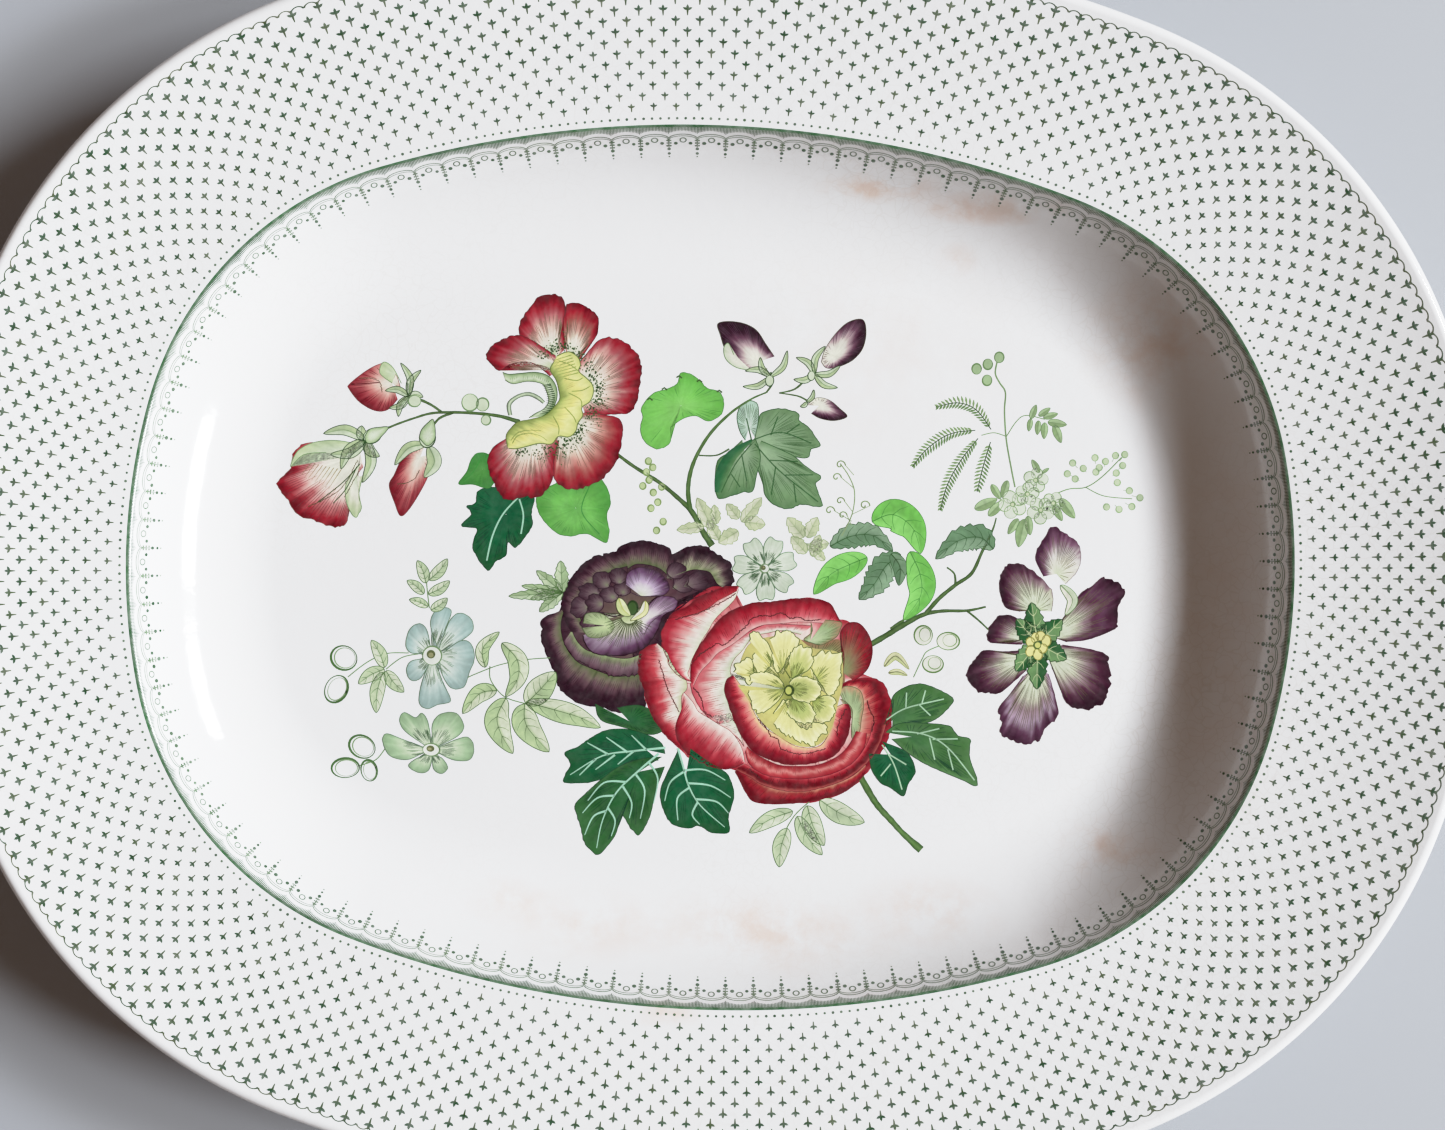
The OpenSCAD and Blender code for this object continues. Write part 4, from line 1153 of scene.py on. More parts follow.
def purple_rose(d):
    """The dark, many-petalled rose behind the red one."""
    petal(d, (-26, -18), pts(-14, -26, -21, -30, -22, -38, -19, -45, -26, -47.5, -33, -46, -40, -45, -46, -41,
        -48, -36, -51, -30, -53, -24, -50, -19, -47, -15, -47, -10, -44, -5, -40, 0, -35, 1.5, -31, 2,
        -29, 5.5, -22, 7.5, -16, 6, -13, 3.5, -8, 6, -2, 6.5, 2, 3, 5.5, -2, 6, -6, 0, -6, -8, -12, -14, -18,
        -14, -26), [ink(104, 104, 74), ink(104, 86, 78), ink(84, 56, 64), ink(56, 28, 42), BLACK_PURPLE],
        None, 0, 0, 81, BLACK_PURPLE, 0.4, 120, BLACK_PURPLE, 0.02, (0.5, 0.98))
    edge = BLACK_PURPLE
    dark = [edge, ink(52, 22, 38), ink(96, 66, 76), ink(116, 104, 92), ink(92, 104, 66)]
    patch(d, pts(-49.5, -17, -52, -18, -53.5, -21, -52, -25.5, -50, -30, -47.5, -34, -46, -39, -42, -42,
        -36.5, -43.5, -30.5, -44.5, -24, -45, -19.5, -43), pts(-45, -14.5, -46.5, -17, -47, -21, -46, -25.5,
        -44, -29, -41, -32, -37.5, -33.5, -33, -35, -29, -36, -24.5, -35.5, -22, -35, -19.5, -33), dark, 1,
        301, edge, 0.3, 110, 0.08, 8)
    patch(d, pts(-46, -26, -44, -29.5, -40, -32.5, -35, -34.5, -30.5, -36, -26, -36, -21.5, -35.5),
        pts(-43.5, -22, -41.5, -25.5, -38.5, -28, -34.5, -29, -29.5, -30, -25, -30, -21, -28.5),
        [ink(70, 40, 54), ink(112, 82, 94), ink(136, 112, 118), ink(128, 128, 104), ink(150, 164, 118)], 2,
        302, edge, 0.26, 90, 0.1, 9)
    patch(d, pts(-43.5, -22.5, -46, -18.5, -47, -14.5, -47, -11, -45.5, -6.5, -42, -2.5, -38, 1.5, -33, 3.5,
        -27.5, 5), pts(-38.5, -22.5, -40.5, -19, -41.5, -15, -40, -11, -37.5, -7, -34, -4, -30.5, -2,
        -27.5, -1, -24, 0), dark, 2, 303, edge, 0.3, 120, 0.08, 8)
    patch(d, pts(-28, 4.5, -26, 6.5, -21, 7.5, -15.5, 6.5, -12.5, 4, -11.5, 1.5),
        pts(-26.5, -1.5, -24, 0, -20.5, 0, -16.5, -1, -14, -3, -12.5, -4.5), dark, 3, 304, edge, 0.3, 80, 0.1,
        5)
    patch(d, pts(-13, 0.5, -10, 4.5, -5.5, 6.5, 0, 5.5, 4.5, 3.5, 7, 0, 8, -3.5, 5, -5.5),
        pts(-11.5, -5.5, -9.5, -2.5, -6, -1, -3, -1, -0.5, -1.5, 1, -3.5, 2, -5, 3.5, -6),
        [edge, ink(50, 22, 38), ink(104, 80, 84), ink(164, 160, 136), ink(140, 150, 108)], 3, 305, edge, 0.34,
        70, 0.08, 5)
    lobes = [(-41.5, -14.5, 2.7, 3.4), (-38.5, -9.5, 3.3, 2.9), (-34.5, -5.5, 3.1, 2.8),
        (-29.5, -4, 2.8, 2.6), (-36.5, -13, 2.8, 3), (-32, -10, 3, 2.6), (-28, -8, 2.7, 2.3),
        (-8.5, -5.5, 3.4, 2.9), (-4, -4.5, 3.3, 3), (-11, -1.5, 3.1, 2.6), (-34.5, -18, 2.7, 2.3),
        (-38.5, -19.5, 2.4, 2.3)]
    for k, (x, y, rx, ry) in enumerate(lobes):
        outline = [(x + rx * (1 + 0.1 * math.cos(3 * i + k)) * math.cos(i * math.pi / 7),
            y + ry * math.sin(i * math.pi / 7)) for i in range(15)]
        petal(d, toward((x, y), (-26, -14), 0.2), outline, [ink(128, 132, 104), ink(116, 100, 100),
            ink(98, 76, 84), ink(70, 46, 58), ink(46, 22, 36)], math.degrees(math.atan2(y + 14, x + 26)), 0.6,
            4 + k % 5, 310 + k, ink(44, 20, 34), 0.24, 26, ink(70, 44, 56), 0.06)
    petal(d, (-22, -10), pts(-27, -6.5, -26.5, -3, -23, -1, -18.5, -1.5, -15, -3.5, -13, -7, -15, -9.5,
        -19.5, -10, -22.5, -10, -25.5, -9), [ink(206, 212, 186), ink(218, 214, 214), ink(186, 168, 190),
        ink(112, 76, 112), edge], 50, 0.5, 10, 330, ink(60, 34, 52), 0.24, 50, ink(110, 90, 104))
    petal(d, (-25.5, -16), pts(-39.5, -19.5, -38.5, -16.5, -35, -16, -30.5, -17, -27.5, -16, -22.5, -15,
        -19.5, -12.5, -16.5, -10, -12, -10, -10.5, -11.5, -11.5, -14, -14.5, -16, -16, -20, -18, -24,
        -21, -27, -26, -29, -31.5, -29.5, -36, -29, -38.5, -27, -40, -23.5),
        [ink(150, 166, 108), ink(196, 204, 168), ink(190, 190, 172), ink(158, 138, 156), ink(96, 60, 90),
        edge], -70, 0.55, 11, 331, edge, 0.34, 150, ink(84, 84, 60), 0.03, (0.2, 0.8))
    petal(d, (-33, -20), pts(-40, -19.5, -39, -16.5, -35.5, -16, -32, -17.5, -30, -20, -31.5, -22.5, -35, -24,
        -38.5, -23.5, -40, -21), [ink(190, 202, 160), ink(176, 190, 146), ink(160, 172, 132),
        ink(120, 128, 96)], -150, 0.3, 12, 332, ink(84, 100, 62), 0.2, 30, ink(96, 116, 70), 0.04)
    petal(d, (-21, -18), pts(-22, -17, -19.5, -13, -16, -10, -12, -10, -10.5, -11.5, -11.5, -14, -15, -15.5,
        -18.5, -18.5, -20.5, -22, -22, -21), [CREAM, ink(206, 198, 200), ink(164, 138, 162), ink(92, 56, 88)],
        40, 0.4, 12, 333, ink(70, 44, 62), 0.2, 40, ink(104, 90, 96), 0.04)
    for k in range(18):
        a = math.radians(200 + 7.5 * k)
        d.stroke([(-25.5 + 2.5 * math.cos(a), -16.5 + 2.5 * math.sin(a)), (-25.5 + 8.5 * math.cos(a + 0.06),
            -16 + 8 * math.sin(a + 0.06))], [0.34, 0.08], ink(66, 78, 40), 0.085)
    ring_line(d, -24.5, -14, 1.6, 2.2, ink(40, 62, 30), 0.4, ink(60, 88, 44), order=14)
    leaf(d, pts(-29, -11, -27.5, -14.5, -25, -16.5), 3.4, ink(216, 222, 178), ink(196, 206, 150), 15, 99,
        edge=ink(70, 84, 40), vein=OCHRE, veins=0)
    leaf(d, pts(-20.5, -11.5, -21, -15, -25, -18), 2.6, ink(222, 222, 168), CREAM, 15, 98,
        edge=ink(96, 104, 56), vein=OCHRE, veins=0)


def crimson_rose(d):
    """The full red rose: each petal shaded from its dark turned edge to its pale inside."""
    ground = pts(48, -31, 55, -34, 58, -40, 59.5, -48, 57, -56, 52, -64, 46, -69.5, 38, -73, 28, -74, 18, -74,
        14, -68, 10, -64, -2, -62, -9, -57, -15, -51, -19, -43, -21.5, -34, -19.5, -28, -16, -27, -14, -30,
        -15, -24, -14, -18, -11, -14, -6, -10, 0, -6, 7, -6, 9, -11, 13, -12, 22, -10, 26, -9, 32, -8,
        37, -10, 40, -14, 44, -15, 48, -17, 50.5, -21, 51, -27, 48, -31)
    petal(d, (26, -38), ground, [PALE_GREEN, ink(206, 206, 180), CREAM, ink(230, 206, 198),
        ink(206, 120, 124), CRIMSON], None, 0, 0, 101, None, 0.3, 60, ink(140, 50, 60), 0.01, (0.45, 0.9))
    olive = [ink(104, 118, 66), ink(120, 130, 78), ink(140, 140, 96), ink(150, 110, 84)]
    petal(d, (34, -30), pts(29, -21.5, 35.5, -22.5, 41.5, -21, 43.5, -25.5, 44, -30.5, 44, -35.5, 41.5, -40.5,
        34, -43, 29, -34), olive, None, 0, 1, 102, None, 0.2, 60, ink(60, 74, 36))
    pink, blush, white = ink(202, 108, 114), ink(222, 176, 172), ink(230, 218, 208)
    fold = ink(84, 30, 34)
    patches = [
        (pts(9, -5.5, 4.5, -6, 0, -8, -4, -10, -7.5, -13, -11.5, -15, -13.5, -18, -15, -21.5, -14.5, -25.5,
         -13, -29, -11.5, -32.5, -8, -35.5, -5, -36.5), pts(9, -6.5, 8, -9.5, 6, -12, 3.5, -14.5, 1.5, -17,
         0, -20, -1.5, -22.5, -3, -25.5, -4, -27.5, -5, -30, -5.5, -32.5, -6, -34, -5, -36),
         [CRIMSON, ink(172, 40, 58), pink, blush, white, ink(212, 214, 190)], 2),
        (pts(8.5, -5.5, 4.5, -6, 0, -8, -4, -10, -7.5, -13, -11, -14.5, -13, -17),
         pts(8.5, -7, 6, -8.5, 2.5, -10.5, -0.5, -13, -3.5, -14.5, -6.5, -15.5, -10, -16.5),
         [DEEP_CRIMSON, CRIMSON, ink(170, 50, 60)], 3),
        (pts(-16.5, -25, -19.5, -26, -21.5, -28, -22, -31.5, -21.5, -35.5, -20, -39, -18.5, -43.5,
         -16.5, -48.5, -13.5, -52.5, -10, -56, -6, -58.5), pts(-16, -25, -13, -27.5, -11.5, -30.5, -9, -34,
         -6.5, -36, -6, -39, -7.5, -41, -7.5, -44.5, -7, -47.5, -6, -52, -4, -57.5),
         [DEEP_CRIMSON, CRIMSON, ink(190, 70, 80), blush, white, ink(190, 196, 160)], 2),
        (pts(-7.5, -46, -9, -50.5, -8.5, -55, -6, -58.5, -2, -61.5, 1.5, -63, 6, -64, 10, -63.5, 13, -62),
         pts(-7, -40, -4, -43, -2, -46, 1.5, -48, 5, -50, 8, -51.5, 10.5, -54, 12.5, -57.5, 13.5, -61.5),
         [DEEP_CRIMSON, CRIMSON, ink(172, 44, 60), ink(206, 110, 116), blush, white], 4),
        (pts(-4, -37, -3, -33, 0, -29, 4, -26, 8.5, -22.5, 13.5, -19.5, 19, -17, 25, -17, 33, -17),
         pts(8.5, -35.5, 7.5, -32.5, 8.5, -29, 11, -26, 13, -23, 15, -21, 19, -20, 23.5, -19, 29.5, -20),
         [ink(206, 104, 112), pink, blush, white, ink(190, 202, 172)], 2),
        (pts(-5, -37, -4.5, -39.5, -3.5, -42, -1.5, -45, 1, -47.5, 3.5, -50),
         pts(8, -35, 6.5, -37, 6, -39, 7, -42, 8.5, -45.5, 10, -48.5), [ink(190, 74, 88), pink, blush, white,
         ink(206, 214, 190)], 3),
        (pts(1, -47.5, 3.5, -50, 7.5, -52, 11, -54, 13, -56.5), pts(8, -46, 9, -48, 11, -50.5, 12, -53.5,
         13, -56.5), [pink, white, ink(206, 214, 190)], 3),
        (pts(-5, -36.5, -5, -31.5, -3.5, -26.5, -1, -22.5, 2, -18, 6, -14, 10, -12, 14, -10.5, 19.5, -10,
         24.5, -9, 29, -8.5, 34.5, -8.5, 38.5, -10, 40.5, -13, 42, -15.5),
         pts(-4, -38, -2, -33.5, 1, -30, 3.5, -27, 8, -24, 11.5, -21, 14, -19, 17.5, -17.5, 21.5, -17,
         25, -16.5, 28.5, -16, 31.5, -16, 34.5, -16, 38, -16, 41.5, -16), [DEEP_CRIMSON, CRIMSON,
         ink(172, 42, 58), ink(200, 92, 102), blush], 5),
        (pts(43, -35.5, 45.5, -34, 49.5, -33, 53.5, -33, 56.5, -34.5, 58.5, -38, 59.5, -42, 59.5, -47,
         59, -51.5, 57.5, -55, 54.5, -60, 51.5, -63.5), pts(43, -38, 44.5, -37, 47, -36, 48.5, -37.5,
         49.5, -40.5, 49.5, -44.5, 49.5, -48.5, 49, -51.5, 49, -53.5, 48.5, -56, 48, -58, 47, -60.5),
         [CRIMSON, DEEP_CRIMSON, CRIMSON, ink(186, 90, 86), ink(206, 176, 150)], 5),
        (pts(10.5, -64.5, 12.5, -68, 14.5, -71.5, 17, -74, 23, -74.5, 29, -74, 35.5, -73, 41, -71.5, 45, -70,
         49, -67, 52, -63.5), pts(13.5, -63.5, 16.5, -66, 20.5, -68, 26, -69.5, 32.5, -69.5, 38.5, -68.5,
         44, -66.5, 48.5, -64, 52, -60.5), [DEEP_CRIMSON, DEEP_CRIMSON, CRIMSON, ink(150, 50, 50),
         ink(196, 140, 116)], 6),
        (pts(10.5, -64, 15, -66, 19.5, -68.5, 26, -70, 32.5, -70, 38.5, -68.5, 45, -66, 50, -62.5, 54, -58,
         56.5, -53, 58, -47.5), pts(13.5, -62, 16.5, -63.5, 20.5, -65, 25, -65.5, 31.5, -65.5, 38, -65,
         43.5, -63, 48, -60, 51, -56, 53, -51.5, 53.5, -47), [ink(176, 84, 80), DEEP_CRIMSON, DEEP_CRIMSON,
         CRIMSON, ink(196, 84, 90)], 7),
        (pts(13.5, -58, 15, -62, 19.5, -65, 25, -66, 31.5, -66, 38, -65, 43.5, -63, 48, -60, 51, -55.5,
         52, -50.5), pts(14, -56.5, 16.5, -58.5, 20.5, -60.5, 25, -62, 30.5, -62, 36, -61.5, 41, -59.5,
         44.5, -57, 47, -53.5, 48.5, -50), [CRIMSON, ink(176, 62, 68), ink(208, 132, 128), ink(166, 54, 60),
         ink(132, 20, 36)], 8),
        (pts(8.5, -34, 6.5, -35.5, 6, -39, 7, -42, 8.5, -46, 10.5, -50.5, 13, -54.5, 16, -58, 20.5, -60,
         26, -61.5, 31.5, -61.5, 36.5, -60.5, 41.5, -58.5, 44, -55.5, 46, -51.5, 46.5, -47, 46.5, -43.5,
         45.5, -41.5), pts(9, -34.5, 11, -37, 13, -39.5, 14.5, -43, 16, -46, 18, -49, 20.5, -51, 23.5, -52.5,
         26, -54, 29, -55.5, 32, -56, 34.5, -56, 37.5, -55, 39.5, -52, 40.5, -49, 40.5, -46, 41.5, -43,
         44, -41.5), [DEEP_CRIMSON, ink(120, 14, 34), CRIMSON, ink(190, 70, 80), ink(222, 140, 132),
         ink(228, 196, 150)], 10),
    ]
    for k, (outer, inner, stops, order) in enumerate(patches):
        patch(d, outer, inner, stops, order, 340 + k, ink(110, 24, 38), 0.2, 60, 0.04)
    petal(d, (43.5, -31.5), pts(43.5, -35.5, 43.5, -30.5, 43.5, -26, 42, -20, 43, -17, 45, -15.5, 47.5, -15.5,
        49.5, -17, 51.5, -20, 52.5, -24, 52, -28, 50.5, -31, 47, -34), [ink(140, 150, 106), ink(136, 130, 92),
        ink(140, 88, 72), CRIMSON, DEEP_CRIMSON], 40, 0.4, 6, 361, DEEP_CRIMSON, 0.24, 60, ink(96, 50, 44))
    petal(d, (32.5, -22), pts(32.5, -16, 33, -19, 30.5, -21.5, 33, -22.5, 36, -23, 39, -21.5, 41, -20,
        42, -17.5, 42, -15.5, 37, -15), [ink(190, 204, 170), ink(176, 190, 152), ink(150, 168, 124),
        ink(160, 120, 96)], 60, 0.2, 7, 362, ink(84, 96, 60), 0.22, 30, ink(110, 128, 84))
    petal(d, (47, -46), pts(42.5, -38, 44, -36, 47, -36, 49.5, -37.5, 50.5, -41.5, 50, -46, 49.5, -50.5,
        47.5, -52.5, 47, -49, 47, -43.5, 45, -41, 43, -40), [ink(186, 198, 162), ink(170, 184, 144),
        ink(156, 170, 130), ink(176, 130, 104)], 20, 0.2, 7, 363, ink(96, 96, 64), 0.22, 30,
        ink(110, 124, 84))
    for k, (points, order) in enumerate((
            (pts(-4.5, -30.5, -2, -27.5, 1, -25.5, 3, -24, 5, -24.5, 7.5, -22.5, 9.5, -20.5, 12.5, -17.5,
             13, -16, 16.5, -14.5, 19.5, -14.5, 23, -13.5, 26, -15, 28.5, -14.5, 31.5, -15.5, 35.5, -15), 5),
            (pts(-11, -17, -7.5, -16, -4, -15, 0, -13, 3.5, -11, 8, -8), 4),
            (pts(-15.5, -30, -14, -34, -13, -37.5, -11.5, -40.5, -10, -43.5, -8, -46.5), 3),
            (pts(-4, -38.5, -1.5, -41.5, 0, -46, 2.5, -47.5), 4),
            (pts(17, -47.5, 20, -50.5, 21.5, -53, 23.5, -53.5, 24.5, -56.5), 11),
            (pts(45, -43, 43.5, -46, 42.5, -49, 42.5, -52), 11), (pts(15, -63.5, 18, -66, 21.5, -68), 8),
            (pts(51.5, -40, 52.5, -43, 54, -46, 53.5, -50), 8),
            (pts(24.5, -56.5, 29, -58, 34.5, -57.5, 39, -56), 11))):
        jagged(d, points, 0.42, fold, order, 370 + k)
    for k in range(26):
        a = math.radians(110 + 7 * k)
        p = (26 + 17 * math.cos(a), -37 + 16.5 * math.sin(a))
        d.stroke([p, toward(p, (26, -37), 0.2)], [0.08, 0.3], ink(120, 136, 90), 0.03)


def rose_heart(d):
    """The rose's ruffled yellow centre."""
    light, mid, green, line = ink(228, 223, 160), ink(208, 205, 126), ink(140, 160, 82), ink(78, 98, 44)
    petal(d, (26.5, -38), pts(9.5, -33.5, 13, -24, 20.5, -21, 27.5, -20.5, 33, -24, 42, -25.5, 43.5, -34,
        42, -43, 40.5, -50, 36.5, -55, 30, -55.5, 23.5, -52.5, 18, -48, 14, -42, 10, -37),
        [ink(120, 132, 62), ink(176, 176, 100), ink(206, 200, 126), ink(190, 182, 116)], None, 0, 12, 380)
    ruffles = [
        ((23.5, -34), pts(13, -22.5, 14, -20.5, 16, -20.5, 18.5, -22.5, 20, -25, 21, -27.5, 20, -30.5,
         18, -33, 16, -34, 14.5, -31.5, 14, -28.5, 14.5, -26), 0),
        ((24.5, -33), pts(19.5, -21.5, 21.5, -19.5, 24, -19, 27, -19.5, 29, -22, 28, -25, 25.5, -27.5,
         24.5, -30.5, 22.5, -32.5, 21, -29, 20.5, -26), 0),
        ((17, -34), pts(9, -33, 9.5, -30.5, 12, -28.5, 14, -28.5, 15, -31.5, 15, -35, 13.5, -37, 12, -34.5,
         9.5, -34), 0),
        ((25, -37.5), pts(13.5, -35.5, 15.5, -33, 19.5, -32.5, 23.5, -34.5, 25, -37.5, 23.5, -41, 20.5, -44,
         18, -45.5, 15.5, -44.5, 14.5, -42, 14, -38.5), 0.1),
        ((34, -35.5), pts(33.5, -27.5, 35.5, -25.5, 39, -25, 42, -25.5, 43, -28, 43, -31, 42, -34.5,
         41.5, -37.5, 39, -39, 37, -36, 35, -33.5, 33, -30.5), 0.15),
        ((34, -40.5), pts(35.5, -40, 38.5, -39, 41, -40, 41.5, -43, 40.5, -46, 38, -47.5, 35.5, -47,
         34.5, -43.5), 0.55),
        ((27, -40.5), pts(21.5, -46, 23.5, -43, 25, -41, 27, -44.5, 29.5, -48.5, 32.5, -50, 35.5, -48,
         39, -48.5, 39, -50.5, 36.5, -52.5, 34.5, -55, 32.5, -54.5, 29, -53.5, 25, -51.5, 22, -49), 0.05),
        ((27.5, -35.5), pts(26, -28, 27, -25, 29.5, -23.5, 32, -24, 33.5, -26.5, 33.5, -29, 32, -31.5,
         29, -33, 27, -34, 25, -31.5), 0.6),
        ((28, -40.5), pts(25, -41.5, 28.5, -40.5, 33, -41.5, 35, -44.5, 34.5, -47.5, 31.5, -48.5,
         28.5, -47.5, 26, -45), 0.75),
        ((27.5, -37.5), pts(26.5, -35.5, 28.5, -33.5, 32, -33.5, 35, -34.5, 37, -37, 36, -40, 33, -41.5,
         29, -41, 27, -39.5), 0.6),
    ]
    for k, (root, outline, greener) in enumerate(ruffles):
        petal(d, root, outline, [ink(96, 116, 52), blend(mid, green, 0.3 + greener * 0.7),
            blend(light, green, greener), blend(light, green, greener * 0.8), ink(238, 234, 182)], None, 0,
            13 + k, 381 + k, line, 0.26, 40, ink(120, 132, 64), 0.12, (0.15, 0.6))
    ring_line(d, 26.5, -38, 1.3, 1.5, ink(60, 78, 34), 0.5, ink(190, 196, 110), order=24)


# --- The bouquet: leaves and stems ---------------------------------------------------------

def deep_leaves(d):
    """The dark leaves under the flowers, with their lines left light."""
    cool, warm = [ink(10, 82, 52), ink(14, 90, 56), DEEP_GREEN, ink(22, 82, 44)], [ink(24, 86, 50),
        ink(36, 94, 50), DARK_GREEN, ink(54, 102, 56)]
    lit = [ink(58, 106, 62), ink(72, 116, 68), ink(62, 106, 56), ink(84, 124, 76)]
    petal(d, (-66, 14), pts(-62, 22, -70, 22.5, -75, 21, -76, 17, -78.5, 16, -77, 13.5, -80, 9.7, -75, 9,
        -75.8, 6, -76, 3, -74.5, 0, -71, -4, -68.5, -1, -65.5, 1, -65, 5, -62.5, 3.5, -60, 6.5, -57.5, 11,
        -58, 15, -57.5, 20, -62, 22), cool, -80, 0.4, 0, 151, ink(20, 60, 40), 0.2, 60, ink(6, 56, 40), 0.03)
    curves(d, (pts(-62, 20, -67, 14, -70, 7, -71.5, -1), pts(-62, 19, -60.5, 14, -61, 8)), 0.5, VEIN_LIGHT,
        0.012)
    groups = [
        ((-24, -50), pts(-35, -45, -33, -50, -26, -52, -16, -54, -12, -50, -20, -45, -28, -46), warm),
        ((-18, -59), pts(-12, -60, -14, -56, -22, -53, -30, -53, -36, -56, -40, -59, -44, -61, -42, -64.5,
         -44, -70, -38, -70.5, -32, -69, -26, -66, -20, -64, -14, -62), cool),
        ((-20, -66), pts(-13, -61, -20, -62, -27, -65, -33, -70, -37, -74, -40, -78, -38, -84, -36, -90,
         -32, -93, -29, -90, -26.5, -86, -25, -80, -22, -84, -19, -86, -16, -80, -14.5, -72, -12, -64), warm),
         
        ((-5, -66), pts(-8, -59, -11, -66, -13, -72, -12, -77, -9, -82, -4, -83.5, 0, -82.5, 4, -84.5,
         9.5, -84, 9, -79, 10.5, -73, 8.5, -66, 2, -62, -4, -58), cool),
        ((60, -46), pts(57, -49, 59, -42, 60, -38, 64, -35, 69, -34, 75, -36, 79, -38.5, 77, -42, 73, -45.5,
         68, -47, 60, -49), lit),
        ((66, -51), pts(58, -50, 62, -47, 70, -46.5, 78, -47, 81, -50, 85, -51, 85, -56, 88, -65.5, 83, -64,
         76, -61.5, 70, -59, 65, -56, 60, -52), lit),
        ((60, -57), pts(57, -53, 63, -55, 66, -57, 68, -62, 66, -66, 64.5, -70, 61, -68, 57, -66, 54, -62,
         53, -57), cool),
    ]
    for k, (root, outline, stops) in enumerate(groups):
        petal(d, root, outline, stops, -90, 0.3, k + 1, 152 + k, ink(24, 66, 40), 0.2, 50, ink(10, 60, 40),
            0.02, (0.3, 0.9))
    veins = [
        pts(-12, -58, -22, -59.5, -32, -61.5, -42, -68), [(-18, -59), (-23, -54.5)],
        [(-24, -60), (-31, -55.5)], [(-30, -61), (-37, -57.5)], [(-22, -59.5), (-27, -64)],
        [(-28, -61), (-34, -66)], [(-34, -62.5), (-39, -68)],
        pts(-14, -60, -20, -65.5, -27, -73, -31, -82, -32.5, -91), pts(-17, -63, -14, -68, -15, -76),
        pts(-21, -67, -18, -72, -19, -81), pts(-25, -71, -22, -76, -22.5, -81),
        pts(-24, -69.5, -31, -70, -36, -76), pts(-27.5, -74, -33, -75, -37.5, -80),
        pts(-30, -79, -34, -81, -36.5, -87), pts(-29.5, -78, -27, -82, -28, -87),
        pts(-8, -58, -6, -64, -4, -70, 0, -76, 8, -82.5), pts(-6, -65, 1, -64.5, 7.5, -67.5),
        pts(-4.5, -69, 3, -69.5, 9.5, -73), pts(-1.5, -74, 5, -74.5, 9, -78),
        pts(-6, -65.5, -10, -69, -11.5, -75), pts(-4, -70.5, -7.5, -74, -7, -81),
        pts(-1, -75, -2.5, -79, 0, -82),
    ]
    for line in veins:
        path = smooth(line)
        last = len(path) - 1
        d.stroke(path, [0.72 - 0.45 * i / last for i in range(last + 1)], VEIN_LIGHT, 0.06)
    curves(d, (pts(58, -46, 64, -42, 76, -38.5), pts(60, -49.5, 70, -50, 78, -54, 87, -64),
        pts(57, -54, 61, -60, 64, -68), [(64, -42), (64, -37)], [(69, -40.5), (70, -36)],
        [(68, -40.5), (72, -44)], [(68, -50), (75, -48)], [(73, -51.5), (81, -51)], [(72, -51), (74, -58)],
        [(78, -54.5), (80, -61)], [(59.5, -57), (65, -60)], [(60, -60), (57, -64)]), 0.42, ink(168, 200, 170),
        0.06)


def vine_leaf(d):
    """The grey-green lobed leaf in the middle."""
    sage = [ink(150, 172, 140), ink(128, 156, 120), ink(108, 140, 98), ink(66, 110, 66)]
    lobes = [
        ((10, 45), pts(9, 41, 7, 44, 6, 49, 8, 53, 12, 53, 12.8, 48, 12, 42),
         [ink(190, 204, 192), ink(150, 176, 158)]),
        ((12, 41), pts(13, 48, 14, 50, 19, 51.5, 25, 50.5, 26, 48, 29, 46, 31, 43, 32.8, 40.5, 30, 39,
         29, 36.5, 25, 36.5, 12, 39), sage),
        ((13, 39), pts(14, 41, 24, 37, 28, 34, 31, 32, 33.5, 30.5, 32, 28, 33, 25, 34.2, 21, 28, 21.5,
         24, 19.8, 19, 21, 16, 24, 15, 28, 11, 37), sage),
        ((9, 37), pts(12, 42, 14, 36, 13, 30, 12, 25, 9, 24.5, 5, 23, 1, 22.3, 0, 28, 0.5, 34, 4, 37, 8, 41),
         sage),
    ]
    for k, (root, outline, stops) in enumerate(lobes):
        petal(d, root, outline, stops, 200, 0.35, k + 1, 171 + k, ink(50, 92, 50), 0.26, 50, ink(72, 108, 66),
            0.02, (0.3, 0.95))
    band(d, pts(1, 24, 2, 30, 5, 36, 11, 41), [2, 4, 3.5, 1], [ink(34, 92, 58), ink(44, 104, 62),
        ink(90, 130, 84)], 5, 6)
    curves(d, (pts(11, 41, 20, 44, 30, 41), pts(12, 40, 20, 32, 33, 22.5), pts(11, 40, 6, 33, 2, 24),
        [(11, 41), (9, 48)], [(17, 43), (19, 49)], [(22, 43.8), (26, 47)], [(17, 35), (26, 35)],
        [(22, 30.5), (31, 31)], [(19, 33), (18, 24)], [(25, 28), (26, 22)], [(8, 36.5), (10, 28)],
        [(5, 30), (8, 26)]), 0.36, ink(56, 98, 56), 0.04)


